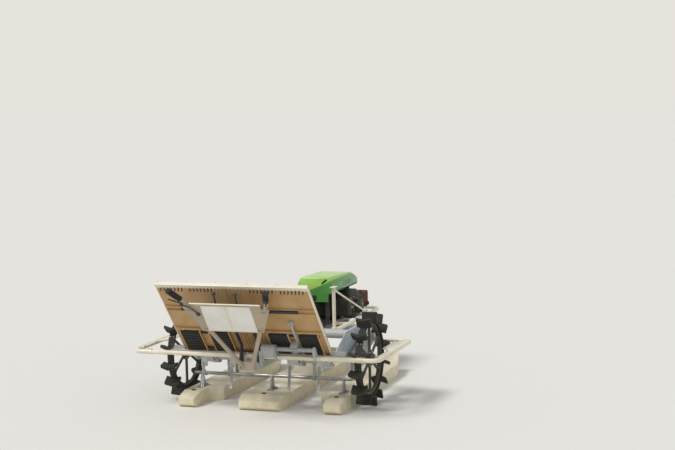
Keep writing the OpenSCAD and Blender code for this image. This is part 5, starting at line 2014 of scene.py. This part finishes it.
@dataclass(frozen=True)
class Lamp:
    """One soft sun: its direction from the machine, its apparent width in degrees and its power."""

    name: str
    source: Triple
    spread: float
    power: float

    def build(self) -> None:
        """Hangs the lamp."""
        data = bpy.data.lights.new(self.name, "SUN")
        data.angle = math.radians(self.spread)
        data.energy = self.power
        lamp = bpy.data.objects.new(self.name, data)
        bpy.context.scene.collection.objects.link(lamp)
        lamp.matrix_world = (-Vector(self.source)).to_track_quat("-Z", "Y").to_matrix().to_4x4()


@dataclass(frozen=True)
class Studio:
    """The pale floor, the soft light and the camera at the photograph's angle.

    The eye is in metres and the camera's angles are in degrees. The camera was solved from the
    tray, the guards and the hood as the photograph shows them.
    """

    eye: Triple = (-9.39, -3.59, 2.12)
    yaw: float = 19.0
    pitch: float = -5.61
    roll: float = -1.23
    lens: float = 80.0
    pale: str = "#e6e3dc"
    sky: str = "#eef2f6"
    sky_light: float = 0.46
    floor_half: float = 90000.0
    lamps: tuple[Lamp, ...] = (
        Lamp("key", (-0.55, 0.5, 0.95), 20.0, 2.1),
        Lamp("fill", (-0.5, -0.85, 0.5), 60.0, 0.45),
    )

    def build(self) -> None:
        """Builds the studio."""
        self.camera()
        self.floor()
        self.light()

    def camera(self) -> None:
        """Puts the camera at the photograph's viewing angle."""
        yaw, pitch, roll = (math.radians(a) for a in (self.yaw, self.pitch, self.roll))
        ahead = Vector((math.cos(yaw) * math.cos(pitch), math.sin(yaw) * math.cos(pitch), math.sin(pitch)))
        right = Vector((math.sin(yaw), -math.cos(yaw), 0))
        up = right.cross(ahead)
        across = math.cos(roll) * right + math.sin(roll) * up
        above = math.cos(roll) * up - math.sin(roll) * right
        data = bpy.data.cameras.new("camera")
        data.lens = self.lens
        camera = bpy.data.objects.new("camera", data)
        bpy.context.scene.collection.objects.link(camera)
        turn = Matrix((across, above, -ahead)).transposed().to_4x4()
        camera.matrix_world = Matrix.Translation(self.eye) @ turn
        bpy.context.scene.camera = camera

    def floor(self) -> None:
        """Lays the pale matt floor."""
        half = self.floor_half
        floor = Work.block("floor", (-half, -half, -20), (half, half, 0)).piece
        material = bpy.data.materials.new("pale matt floor")
        material.use_nodes = True
        tree = material.node_tree
        tree.nodes.clear()
        matt = add(tree, "BsdfDiffuse", {"Color": linear(self.pale)})
        add(tree, "OutputMaterial", {"Surface": matt.outputs[0]})
        floor.data.materials.append(material)

    def light(self) -> None:
        """Lights the machine softly and shows the backdrop in the floor's own tone."""
        world = bpy.data.worlds.new("studio")
        bpy.context.scene.world = world
        world.use_nodes = True
        tree = world.node_tree
        tree.nodes.clear()
        path = add(tree, "LightPath")
        through = path.outputs["Is Transmission Ray"]
        seen = add(tree, "Math", {0: path.outputs["Is Camera Ray"], 1: path.outputs["Is Glossy Ray"]})
        shown = add(tree, "Math", {0: seen.outputs[0], 1: through}, use_clamp=True)
        soft = add(tree, "Background", {"Color": linear(self.sky), "Strength": self.sky_light})
        back = add(tree, "Background", {"Color": linear(self.pale), "Strength": 1.0})
        mix = add(tree, "MixShader", {0: shown.outputs[0], 1: soft.outputs[0], 2: back.outputs[0]})
        add(tree, "OutputWorld", {"Surface": mix.outputs[0]})
        for lamp in self.lamps:
            lamp.build()
        bpy.context.scene.view_settings.view_transform = "Standard"


def main() -> None:
    """Builds the studio and the machine, and reports each piece."""
    logging.basicConfig(level=logging.INFO, format="%(name)s: %(message)s")
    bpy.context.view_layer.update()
    Studio().build()
    machine = (
        Frame(),
        Engine(),
        Hood(),
        DriveCases(),
        Wheel.on(1),
        Wheel.on(-1),
        PlantingUnit(),
        TrayDrive(),
        Tray(),
        Floats(),
        Handle(),
    )
    for assembly in machine:
        assembly.build()
        LOG.info("%s built on %s", type(assembly).__name__, assembly.body)


if __name__ == "__main__":
    main()
